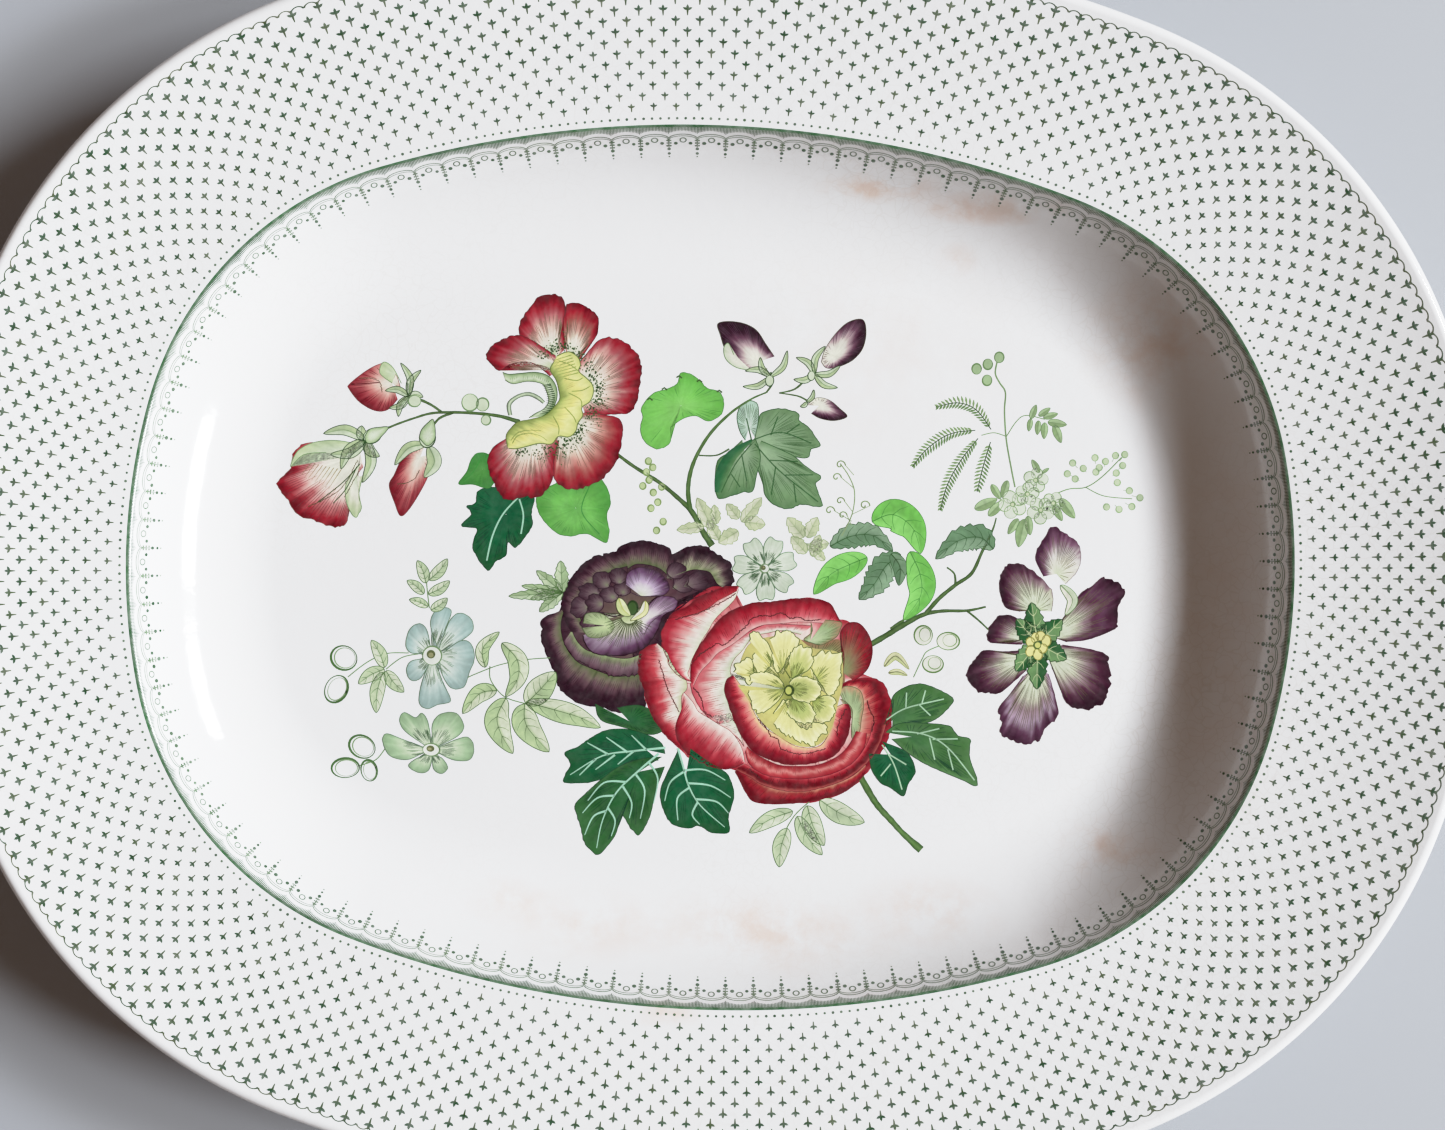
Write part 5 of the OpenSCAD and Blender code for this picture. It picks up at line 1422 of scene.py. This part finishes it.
def bright_leaves(d):
    """The leaves painted over in bright green."""
    wash, dim = [ink(136, 196, 106), ink(124, 190, 94), ink(112, 182, 84),
        ink(96, 168, 72)], [ink(84, 148, 72), ink(66, 134, 62), GRASS_GREEN]
    shapes = [
        ((-12, 51), pts(-15, 44, -15, 39, -19, 37, -23, 39, -24.5, 43, -24, 47, -24.5, 50, -21, 54.5,
         -17, 56, -13.5, 58, -12.5, 61.5, -9, 61, -6, 59, -4, 57, 0, 56, 1.5, 53, 1, 49, -3, 46.5, -7, 48,
         -11, 47, -15, 44), wash),
        ((-44, 17), pts(-50, 25, -56, 21, -56, 16, -53, 11.5, -49, 8.5, -45, 8, -40, 9, -34, 6.5, -33, 10,
         -34, 15, -33, 19.5, -35, 25, -38, 27, -44, 25, -50, 25), [ink(96, 160, 78), ink(112, 178, 88),
         ink(90, 160, 72), ink(74, 146, 62)]),
        ((-74, 28), pts(-70, 31, -73, 33, -76, 33, -78, 30.5, -79, 27, -81.5, 23, -77, 23, -72, 22, -70, 25,
         -70, 31), dim),
    ]
    for k, (root, outline, stops) in enumerate(shapes):
        petal(d, root, outline, stops, 60, 0.4, k, 181 + k, ink(58, 118, 50), 0.18, 20, ink(70, 140, 60),
            0.02)
    for x, y in ((-17.5, 56.5), (-13, 60.5), (-6.5, 59.5), (0, 56.5), (-22, 53)):
        d.stroke([(x - 0.8, y - 0.6), (x, y), (x + 0.9, y - 0.7)], 0.5, ink(60, 90, 44), 0.02)
    curves(d, (pts(-40, 24, -42, 16, -36, 9), pts(-75, 31, -77, 27, -80, 24)), 0.3, ink(60, 140, 60), 0.02)
    greens = [
        (pts(50.5, 17, 57, 19.5, 63.5, 15.5, 66.5, 7.5), 10.5), (pts(63, 8, 66.5, 1, 67, -6, 62, -14), 9),
        (pts(49.5, 5.5, 44, 3, 38, -0.5, 33, -7), 8.5),
    ]
    for k, (spine, width) in enumerate(greens):
        leaf(d, spine, width, BRIGHT_GREEN, ink(140, 208, 110), k + 3, 185 + k, vein=ink(70, 140, 60),
            veins=4, edge=ink(70, 130, 56), vein_width=0.28)


def sage_leaves(d):
    """The grey-green leaves at the right."""
    for k, (spine, width) in enumerate([(pts(37.5, 8.5, 44, 12, 51, 12.5, 57.5, 8), 7.5),
            (pts(60, 7, 55.5, 3, 52, -3, 47.5, -8), 8.5), (pts(89.5, 10, 85, 13.5, 78, 12, 71.3, 6), 8)]):
        leaf(d, spine, width, ink(132, 160, 130), ink(104, 138, 104), k, 191 + k, teeth=9,
            vein=ink(56, 92, 54), veins=6, edge=ink(56, 92, 54), vein_width=0.3, edge_width=0.26)
    leaf(d, pts(57, 7, 60, 3, 60, -3), 4.6, ink(120, 150, 118), ink(96, 130, 96), 3, 195,
        edge=ink(56, 92, 54), vein=LINE_GREEN, veins=2)


def woody_stems(d):
    """The brown-green stems that join the flowers."""
    stem(d, pts(-32, 35, -26, 31, -18, 26.5, -12, 22, -7, 17.5, -3, 11, 0, 7),
        [1, 1.1, 1.2, 1.4, 1.7, 1.9, 2.2], 1)
    stem(d, pts(-7.5, 18, -8.5, 24, -8, 30, -6, 36, -2, 43, 4, 49.5, 10, 54, 15, 56.5),
        [1.5, 1.4, 1.3, 1.1, 1, 0.8, 0.6, 0.5], 2, ink(56, 96, 44))
    stem(d, pts(-5.5, 35.5, 0, 35.8, 4, 38), [0.5, 0.5, 0.6], 1)
    stem(d, pts(49, -24, 56, -19.5, 62, -15.5, 68, -12, 74, -10.5, 82, -10, 88, -8.5),
        [2, 1.8, 1.7, 1.4, 1.1, 0.9, 0.6], 1)
    stem(d, pts(69, -11.5, 73, -6.5, 78, -2, 83, 2, 86, 9, 89, 16, 90, 20),
        [1.4, 1.3, 1.2, 1.1, 0.9, 0.6, 0.4], 2)
    stem(d, pts(82, -10, 86, -13, 89.5, -16), [0.7, 0.6, 0.5], 1)
    stem(d, pts(75, 3.5, 77.5, 1.5, 78, -2), [0.5, 0.6, 0.8], 1)
    stem(d, pts(62, -14, 60.5, -15, 58, -17), [0.8, 1, 1], 1)
    stem(d, pts(49, -62, 54, -70, 57, -74, 61, -78, 65, -82, 71, -87), [2.2, 2.1, 2, 1.9, 1.8, 2.6], 3,
        ink(52, 84, 40), ink(96, 128, 72))


def pale_flower(d, centre, outlines, tints, order, eye):
    """A printed flower of several petals round an outlined eye."""
    for k, outline in enumerate(outlines):
        petal(d, centre, outline, tints, None, 0, order + k, int(210 + k - centre[1]), ink(92, 122, 92), 0.22,
            40, ink(84, 112, 80), 0.01, (0.2, 0.6))
    ring_line(d, centre[0], centre[1], eye[0], eye[1], FAINT_GREEN, 0.3, ink(222, 226, 216), order=order + 8)
    ring_line(d, centre[0] - 0.4, centre[1] + 0.3, eye[0] * 0.36, eye[1] * 0.36, ink(96, 104, 66), 0.5,
        ink(150, 150, 110), order=order + 9)


def pale_sprays(d):
    """The printed flowers and foliage that were left uncoloured, at the left and below."""
    blue = [ink(120, 146, 112), ink(196, 206, 192), ink(206, 214, 204), ink(190, 204, 198),
        ink(168, 186, 182), ink(146, 168, 164)]
    green = [ink(116, 142, 100), ink(190, 202, 178), ink(200, 210, 188), ink(184, 200, 172),
        ink(162, 184, 152), ink(140, 166, 130)]
    pale_flower(d, (-87.5, -32), [
        pts(-86, -29, -88.5, -22, -87, -17.5, -84, -16.5, -82, -18, -84, -24, -85.5, -29),
        pts(-85.5, -30, -84, -25, -82, -20, -79, -18, -75.5, -20, -75, -23.5, -78, -26.5, -82, -29, -84, -31),
        pts(-84, -31, -79, -27, -75.5, -27.5, -74, -32, -75.5, -37, -77, -41.5, -81, -42, -84, -38, -85, -34),
        pts(-86, -34, -84, -40, -81, -46, -85, -47.5, -88.5, -49, -91, -47, -90.5, -41, -88.5, -35),
        pts(-89, -33, -94, -34, -95.5, -37, -94, -40, -91, -39.5, -88.5, -35),
        pts(-89, -31, -94, -31.5, -96, -29, -95, -24, -92, -22, -89.5, -24, -88, -30), ], blue, 1, (3.0, 3.0))
    pale_flower(d, (-86.5, -62), [
        pts(-88, -61, -95, -56.5, -97, -53, -95.5, -50.5, -92, -52, -90, -50.5, -88, -53, -86.5, -60),
        pts(-86, -60, -86.5, -54, -84, -50.5, -79, -50, -76.5, -54, -78, -57, -82, -59.5, -85, -61),
        pts(-84, -61, -79, -58.5, -75, -57.5, -73, -60.5, -74, -64.5, -79, -65, -84, -63),
        pts(-89, -61.5, -96, -59, -101, -57.5, -102, -60, -99.5, -64.5, -94, -65.5, -89, -63),
        pts(-87, -63.5, -91, -65, -93.5, -67.5, -90, -69.5, -87, -68.5, -86, -64),
        pts(-85.5, -64, -83, -64.5, -81, -67.5, -83, -69.5, -85.5, -68, -86, -64), ], green, 1, (2.7, 2.0))
    fine = dict(vein=ink(84, 116, 66), edge=ink(84, 116, 66), vein_width=0.22, edge_width=0.24)
    # stem points, then (from, to, width) of each leaflet on it
    sprays = [
        (pts(-89, -17, -90, -11, -90.5, -6), [((-90.5, -9), (-93.5, -2), 3.6), ((-89.5, -8), (-84, -1), 3.6),
         ((-91, -12.5), (-96.5, -8.5), 3.2), ((-89.5, -12.5), (-83, -8), 3.4),
         ((-89.5, -16.5), (-95.5, -14.5), 2.8), ((-88.5, -17.5), (-83.5, -13.5), 3.2)]),
        (pts(-91, -31.5, -97, -33, -102, -37), [((-102.5, -36.5), (-107, -28), 4.2),
         ((-102.5, -37), (-110.5, -42), 4.4), ((-103, -38), (-104.5, -51), 4.6),
         ((-102, -37.5), (-96, -44), 4.2)]),
        (pts(-95, -31.5, -102, -32, -108, -35, -114, -40), []), (pts(-101, -62, -104, -66, -109, -68), []),
        (pts(-50, -31, -58, -32, -66, -34, -73, -37, -76, -38.5), []),
        (pts(-69, -34.5, -68.5, -39, -64, -44, -57, -46), []),
        (pts(36, -72, 30, -78, 26, -86), [((29.5, -76.5), (16, -84), 5), ((28, -82), (26, -94.5), 5.4),
         ((31, -78), (39.5, -90), 5.2), ((34, -74.5), (40, -87), 6), ((38, -72.5), (52.5, -79), 6.5)]),
    ]
    for line, leaflets in sprays:
        d.stroke(smooth(line), 0.34, FAINT_GREEN, 0.006)
        for k, (start, end, width) in enumerate(leaflets):
            middle = toward(start, end, 0.5)
            leaf(d, [start, (middle[0] + 0.06 * (end[1] - start[1]), middle[1] - 0.06 * (end[0] - start[0])),
                end], width, ink(206, 214, 190), ink(186, 200, 168), 2, int(230 + start[0]), veins=3, **fine)
    curls = [(pts(-70.5, -35, -71.5, -29, -66.5, -23.5), 4.2), (pts(-65.5, -27, -60.5, -32, -60, -38,
        -63.5, -44), 6.4), (pts(-66.5, -42.2, -72, -43.5, -77, -50), 5.6),
        (pts(-63.5, -44.5, -66, -50.5, -64.5, -56, -60.5, -62), 8), (pts(-57, -46, -52.5, -41, -48, -35.5),
        8), (pts(-57.5, -46, -56.5, -53, -49, -61), 8.4), (pts(-57, -45.5, -48, -47.5, -40, -49.5,
        -33, -52.5), 7)]
    for k, (spine, width) in enumerate(curls):
        leaf(d, spine, width, ink(204, 212, 186), ink(176, 194, 152), 3, 260 + k, veins=4,
            **{**fine, "edge": ink(72, 106, 52), "vein": ink(64, 98, 44)})
    for k, (tip, width) in enumerate([((-64, -12), 3.2), ((-60, -8.5), 2.6), ((-55.5, -3.5), 3.4),
            ((-48, 0), 4), ((-54, -16.5), 3.6), ((-57, -12.5), 2.6)]):
        leaf(d, [(-47, -10), toward((-47, -10), tip, 0.55), tip], width, ink(186, 200, 170),
            ink(160, 180, 140), 3, 270 + k, teeth=6, veins=2, **fine)
    for x, y, rx, ry, turn in ((-115.5, -34, 4.2, 3.8, -20), (-117.5, -44, 3.5, 4.5, -25),
            (-108.5, -62, 4.3, 3.5, -25), (-113.5, -69, 4.4, 3.1, 5), (-106, -69.5, 2.5, 3.4, 15)):
        ring_line(d, x, y, rx, ry, ink(72, 108, 58), 0.46, None, turn, 2)
        ring_line(d, x + 0.3, y, rx * 0.8, ry * 0.84, ink(132, 158, 116), 0.24, None, turn, 2)


def pale_ferns(d):
    """Ferns, berries and blossom at the upper right, and the foliage behind the roses."""
    faint = ink(150, 172, 132)
    for spine in (pts(87, 48, 82, 54, 76, 56, 69, 54.3), pts(82, 47.5, 74, 46, 67, 41, 62.5, 35),
            pts(83, 45, 78, 38, 74, 30, 72, 21.5), pts(87, 44, 85, 36, 83.5, 28)):
        length = sum(math.dist(p, q) for p, q in zip(spine, spine[1:]))
        path = even(spine, int(length / 1.05))
        d.stroke(path, 0.3, LINE_GREEN, 0.006)
        for i in range(1, len(path) - 1):
            (ax, ay), (x, y) = path[i - 1], path[i]
            step = math.dist((ax, ay), (x, y))
            tx, ty = (x - ax) / step, (y - ay) / step
            reach = 2.2 * math.sin(math.pi * (0.12 + 0.84 * i / len(path)))
            for side in (-1, 1):
                tip = (x + tx * 1.3 - ty * side * reach, y + ty * 1.3 + tx * side * reach)
                d.stroke([(x, y), toward((x, y), tip, 0.55), tip], [0.18, 0.72, 0.16],
                    ink(104, 134, 84) if side > 0 else ink(128, 153, 106), 0.006)
    for line, width in ((pts(92, 46, 88, 47, 84, 46), 0.3), (pts(95.5, 30, 94, 36, 92, 45, 91, 54, 91, 60,
            89, 63, 87.5, 66, 88, 70), 0.5), (pts(92, 46, 95, 51, 98, 53, 104, 52), 0.3),
            (pts(104, 26, 112, 30, 118, 31, 123, 34.5, 129, 41), 0.36), (pts(118, 31, 124, 28.5, 133, 28),
            0.3), (pts(66, -32, 68.5, -26, 70, -23.5, 74, -21.5), 0.34)):
        d.stroke(smooth(line), width, ink(124, 150, 106), 0.006)
    for x, y in ((88.5, 71), (85, 68.7), (81.5, 67), (85, 63.6)):
        ring_line(d, x, y, 1.5, 1.7, ink(104, 134, 86), 0.3, ink(156, 176, 138), order=2)
    for x, y in ((113.5, 38.5), (117, 37), (112, 35), (114.5, 33.5), (120.5, 40.5), (122, 37.5), (124, 39.5),
            (121, 36), (127, 41.5), (130, 42), (129.5, 38.5), (127.5, 36), (128, 33), (132, 30.5),
            (135.5, 28.5), (133, 25.5), (129, 24.5), (125, 25)):
        ring_line(d, x, y, 1.0, 1.05, faint, 0.24, ink(184, 198, 168), order=2)
        d.stroke([(x, y), toward((x, y), (122, 31), 0.2)], 0.16, faint, 0.004)
    leaflets = [((99.5, 52), (101, 56.5)), ((102, 53), (105.5, 55.7)), ((103.5, 52.5), (108, 54)),
        ((105, 51.2), (111, 50.6)), ((99.5, 52), (99, 48)), ((102, 51.5), (101.8, 47)),
        ((104, 51), (104, 45.8)), ((107, 50.4), (109.5, 44.8)), ((83, 22.5), (90, 26)),
        ((87.5, 20.5), (92, 25.5)), ((88, 30.5), (91, 26)), ((93, 32), (91.5, 26.5)), ((110, 27), (115, 21)),
        ((108, 25), (111, 20)), ((97, 20), (94, 15)), ((99, 20), (97.5, 11)), ((100, 21), (101, 15)),
        ((103, 35), (100.5, 39)), ((104, 35), (106, 36.5))]
    for start, end in leaflets:
        leaf(d, [start, toward(start, end, 0.5), end], 0.42 * math.dist(start, end), ink(166, 186, 146),
            ink(140, 164, 118), 2, int(start[0]), veins=0, vein=FAINT_GREEN, edge=FAINT_GREEN,
            vein_width=0.16, edge_width=0.18)
    for x, y, r in ((102, 32.5, 4), (95, 24.5, 4.6), (104, 23, 4.4), (99.5, 28, 3.8), (108, 25.5, 3.6)):
        for k in range(5):
            a = 2 * math.pi * k / 5 + x
            ring_line(d, x + r * 0.55 * math.cos(a), y + r * 0.55 * math.sin(a), r * 0.45, r * 0.45,
                ink(140, 162, 122), 0.2, ink(206, 214, 196), order=2)
        ring_line(d, x, y, 0.7, 0.7, ink(120, 146, 100), 0.26, ink(190, 200, 170), order=3)
    for x, y, rx, ry in ((68.5, -18.5, 2.9, 3.1), (76.5, -20, 3.6, 2.8), (72, -27.5, 3.3, 2.7)):
        ring_line(d, x, y, rx, ry, ink(96, 128, 70), 0.32, ink(218, 219, 206), order=2)
        ring_line(d, x + 0.5, y + 0.3, rx * 0.62, ry * 0.7, ink(120, 148, 96), 0.2, order=3)
    for k, (spine, width) in enumerate(((pts(56.5, -29, 60, -25.5, 64.5, -29.5), 2.4),
            (pts(58, -31, 61, -30.5, 64, -31.5), 1.8))):
        leaf(d, spine, width, ink(206, 206, 170), ink(190, 196, 150), 2, 290 + k, vein=OLIVE_INK, veins=0,
            edge=ink(150, 156, 100))
    behind = [((0, 12), (-5.5, 22), 4.4), ((-3, 13), (-11.5, 11.5), 3.4), ((1, 14), (0, 20), 3),
        ((9, 15), (15, 23), 4), ((10, 15), (16.5, 14.5), 4.4), ((8, 16), (4, 20.5), 3.6),
        ((8, 12), (2, 8), 4.6), ((2, 9), (-2, 15), 3.6), ((29, 11), (23.5, 17), 4.6),
        ((30, 11), (33, 17.5), 4.2), ((31, 8), (37, 9.5), 3.8), ((30, 6), (25, 11), 4),
        ((32, 5), (34, 12), 3.6), ((36, 4), (30, 9), 3)]
    for start, end, width in behind:
        leaf(d, [start, toward(start, end, 0.5), end], width, ink(206, 210, 186), ink(190, 198, 166), 1,
            int(300 + start[0]), teeth=4, veins=2, vein=ink(150, 164, 124), edge=ink(146, 162, 118),
            vein_width=0.2, edge_width=0.22)
    heart = ((1.5, -0.3), (7, -0.42), (10.2, -0.22), (9.6, 0), (10.2, 0.22), (7, 0.42), (1.5, 0.3))
    outlines = []
    for k in range(7):
        a = math.radians(20 + 51 * k)
        outlines.append([(17 + r * math.cos(a + b), 0.5 + r * math.sin(a + b)) for r, b in heart])
    pale_flower(d, (17, 0.5), outlines, [ink(214, 220, 206), ink(204, 212, 196), ink(190, 202, 182)], 2,
        (1.4, 1.4))
    d.stroke(smooth(pts(41, 12, 44, 19, 44.5, 26, 42.5, 31, 39.5, 35)), 0.34, ink(140, 160, 116), 0.006)
    for x, y, r in ((39.5, 34.5, 1.7), (38.5, 30.5, 1.6), (47.8, 22, 1.8), (36.8, 19.8, 1.7), (41, 18.5, 1.5),
            (40, 23, 1.5)):
        curl = [(x + r * (1 - t / 14) * math.cos(0.5 * t),
            y + r * (1 - t / 14) * math.sin(0.5 * t)) for t in range(14)]
        d.stroke(curl, 0.4, ink(132, 152, 106), 0.006)
        d.stroke(smooth([(x + r, y), toward((x + r, y), (44, y - 3), 0.5), (44, y - 3)]), 0.24,
            ink(150, 168, 128), 0.006)
    for x, y in ((-23, 25), (-21, 27), (-22, 29.5), (-20, 31), (-21.5, 33), (-19.5, 23), (-18, 20), (-20, 18),
            (-17, 25), (-16, 14), (-18, 11)):
        ring_line(d, x, y, 1.0, 1.1, ink(128, 150, 92), 0.3, ink(180, 194, 150), order=1)


# --- Building ------------------------------------------------------------------------------

glaze = glaze_material()
print_ink = ink_material("print_ink")
clay_body(clay_material())
face_coat(glaze)
back_coat(glaze)
recess_coat(glaze)
sprigs(print_ink)
beads(print_ink)
verge_line(print_ink)
lace(print_ink)
edge_line(print_ink)

paint = ink_material("paint", 0.03)
for name, slot, node, draw in (
        ("pale_sprays", "pale_print", "pale_spray_print", pale_sprays),
        ("pale_ferns", "pale_print", "pale_spray_print", pale_ferns),
        ("woody_stems", "green_print", "stem_print", woody_stems),
        ("deep_leaves", "deep_green", "deep_green_enamel", deep_leaves),
        ("vine_leaf", "deep_green", "deep_green_enamel", vine_leaf),
        ("sage_leaves", "deep_green", "deep_green_enamel", sage_leaves),
        ("bright_leaves", "bright_green", "bright_green_enamel", bright_leaves),
        ("red_buds", "crimson", "crimson_enamel", red_buds),
        ("purple_buds", "purple", "purple_enamel", purple_buds),
        ("star_flower", "purple", "purple_enamel", star_flower),
        ("star_eye", "yellow", "yellow_enamel", star_eye), ("poppy", "crimson", "crimson_enamel", poppy),
        ("poppy_crest", "yellow", "yellow_enamel", poppy_crest),
        ("purple_rose", "purple", "purple_enamel", purple_rose),
        ("crimson_rose", "crimson", "crimson_enamel", crimson_rose),
        ("rose_heart", "yellow", "yellow_enamel", rose_heart)):
    flower(name, slot, [node], draw, paint)


# --- Stage, light and camera ---------------------------------------------------------------

LIGHT_TARGET = (0, 0, 0.03)
WINDOW_X, WINDOW_Z, WINDOW_HEIGHT = 4.9, 3.35, 1.05
WINDOWS = (("window_left", 1.5, 1.7), ("window_right", -0.5, 1.45))      # (name, middle y, width)
WINDOW_POWER = 222                 # for each metre of width
DAYLIGHT, ROOM_LIGHT = (0.945, 1.0, 1.035), (1.0, 0.70, 0.52)
SENSOR, LENS = 36.0, 49.83         # millimetres
CAMERA_TURNS = (0.8, 0.45, -2.6)   # degrees about X, Y and Z
CAMERA_PLACE = (-0.0015, 0.0099)   # metres, in plan
CAMERA_OVER_VERGE = 612.5          # millimetres
BRIGHTEST = 2.4                    # the light that just reaches white
ROLL_OFF = ((0.35, 0.35), (0.7, 0.7), (1.0, 0.84), (1.5, 0.93))          # (light, as shown)


def table():
    """The plain pale table that the platter stands on."""
    mesh = bpy.data.meshes.new("table")
    a = TABLE_REACH
    mesh.from_pydata([(-a, -a, 0), (a, -a, 0), (a, a, 0), (-a, a, 0)], [], [(0, 1, 2, 3)])
    material, tree, shader = new_material("table")
    shader.inputs["Base Color"].default_value = (0.40, 0.41, 0.44, 1)
    shader.inputs["Roughness"].default_value = 0.7
    mesh.materials.append(material)
    obj = bpy.data.objects.new("table", mesh)
    bpy.context.scene.collection.objects.link(obj)


def area_light(name, place, size, power, colour):
    """A soft rectangular light that faces the platter."""
    light = bpy.data.lights.new(name, "AREA")
    light.shape, light.size, light.size_y = "RECTANGLE", size[0], size[1]
    light.energy, light.color = power, colour
    obj = bpy.data.objects.new(name, light)
    obj.location = place
    obj.rotation_euler = (Vector(LIGHT_TARGET) - Vector(place)).to_track_quat("-Z", "Y").to_euler()
    bpy.context.scene.collection.objects.link(obj)


def sky(strength, colour):
    """Even light from all round."""
    world = bpy.data.worlds.new("sky")
    world.use_nodes = True
    world.node_tree.nodes["Background"].inputs["Color"].default_value = (*colour, 1)
    world.node_tree.nodes["Background"].inputs["Strength"].default_value = strength
    bpy.context.scene.world = world


def camera():
    """Looking almost straight down, close enough that the lip leaves the picture."""
    data = bpy.data.cameras.new("camera")
    data.sensor_width, data.lens = SENSOR, LENS
    obj = bpy.data.objects.new("camera", data)
    tilt_x, tilt_y, roll = (math.radians(turn) for turn in CAMERA_TURNS)
    look = Matrix.Rotation(roll, 4, "Z") @ Matrix.Rotation(tilt_y, 4, "Y") @ Matrix.Rotation(tilt_x, 4, "X")
    height = (VERGE_Z + GLAZE + CAMERA_OVER_VERGE) / 1000
    obj.matrix_world = Matrix.Translation((*CAMERA_PLACE, height)) @ look.transposed()
    bpy.context.scene.collection.objects.link(obj)
    bpy.context.scene.camera = obj


def tone():
    """Bright parts roll off as they do in a camera, so that the lit wall keeps its highlights."""
    view = bpy.context.scene.view_settings
    view.view_transform = "Standard"
    view.use_curve_mapping = True
    curves = view.curve_mapping
    curves.white_level = (BRIGHTEST, BRIGHTEST, BRIGHTEST)
    curve = curves.curves[3]
    curve.points[0].location = (0, 0)
    curve.points[1].location = (1, 1)
    for light, shown in ROLL_OFF:
        curve.points.new(light / BRIGHTEST, shown)
    curves.update()


table()
for name, middle, width in WINDOWS:
    area_light(name, (WINDOW_X, middle, WINDOW_Z), (width, WINDOW_HEIGHT), WINDOW_POWER * width, DAYLIGHT)
sky(0.145, ROOM_LIGHT)
camera()
tone()
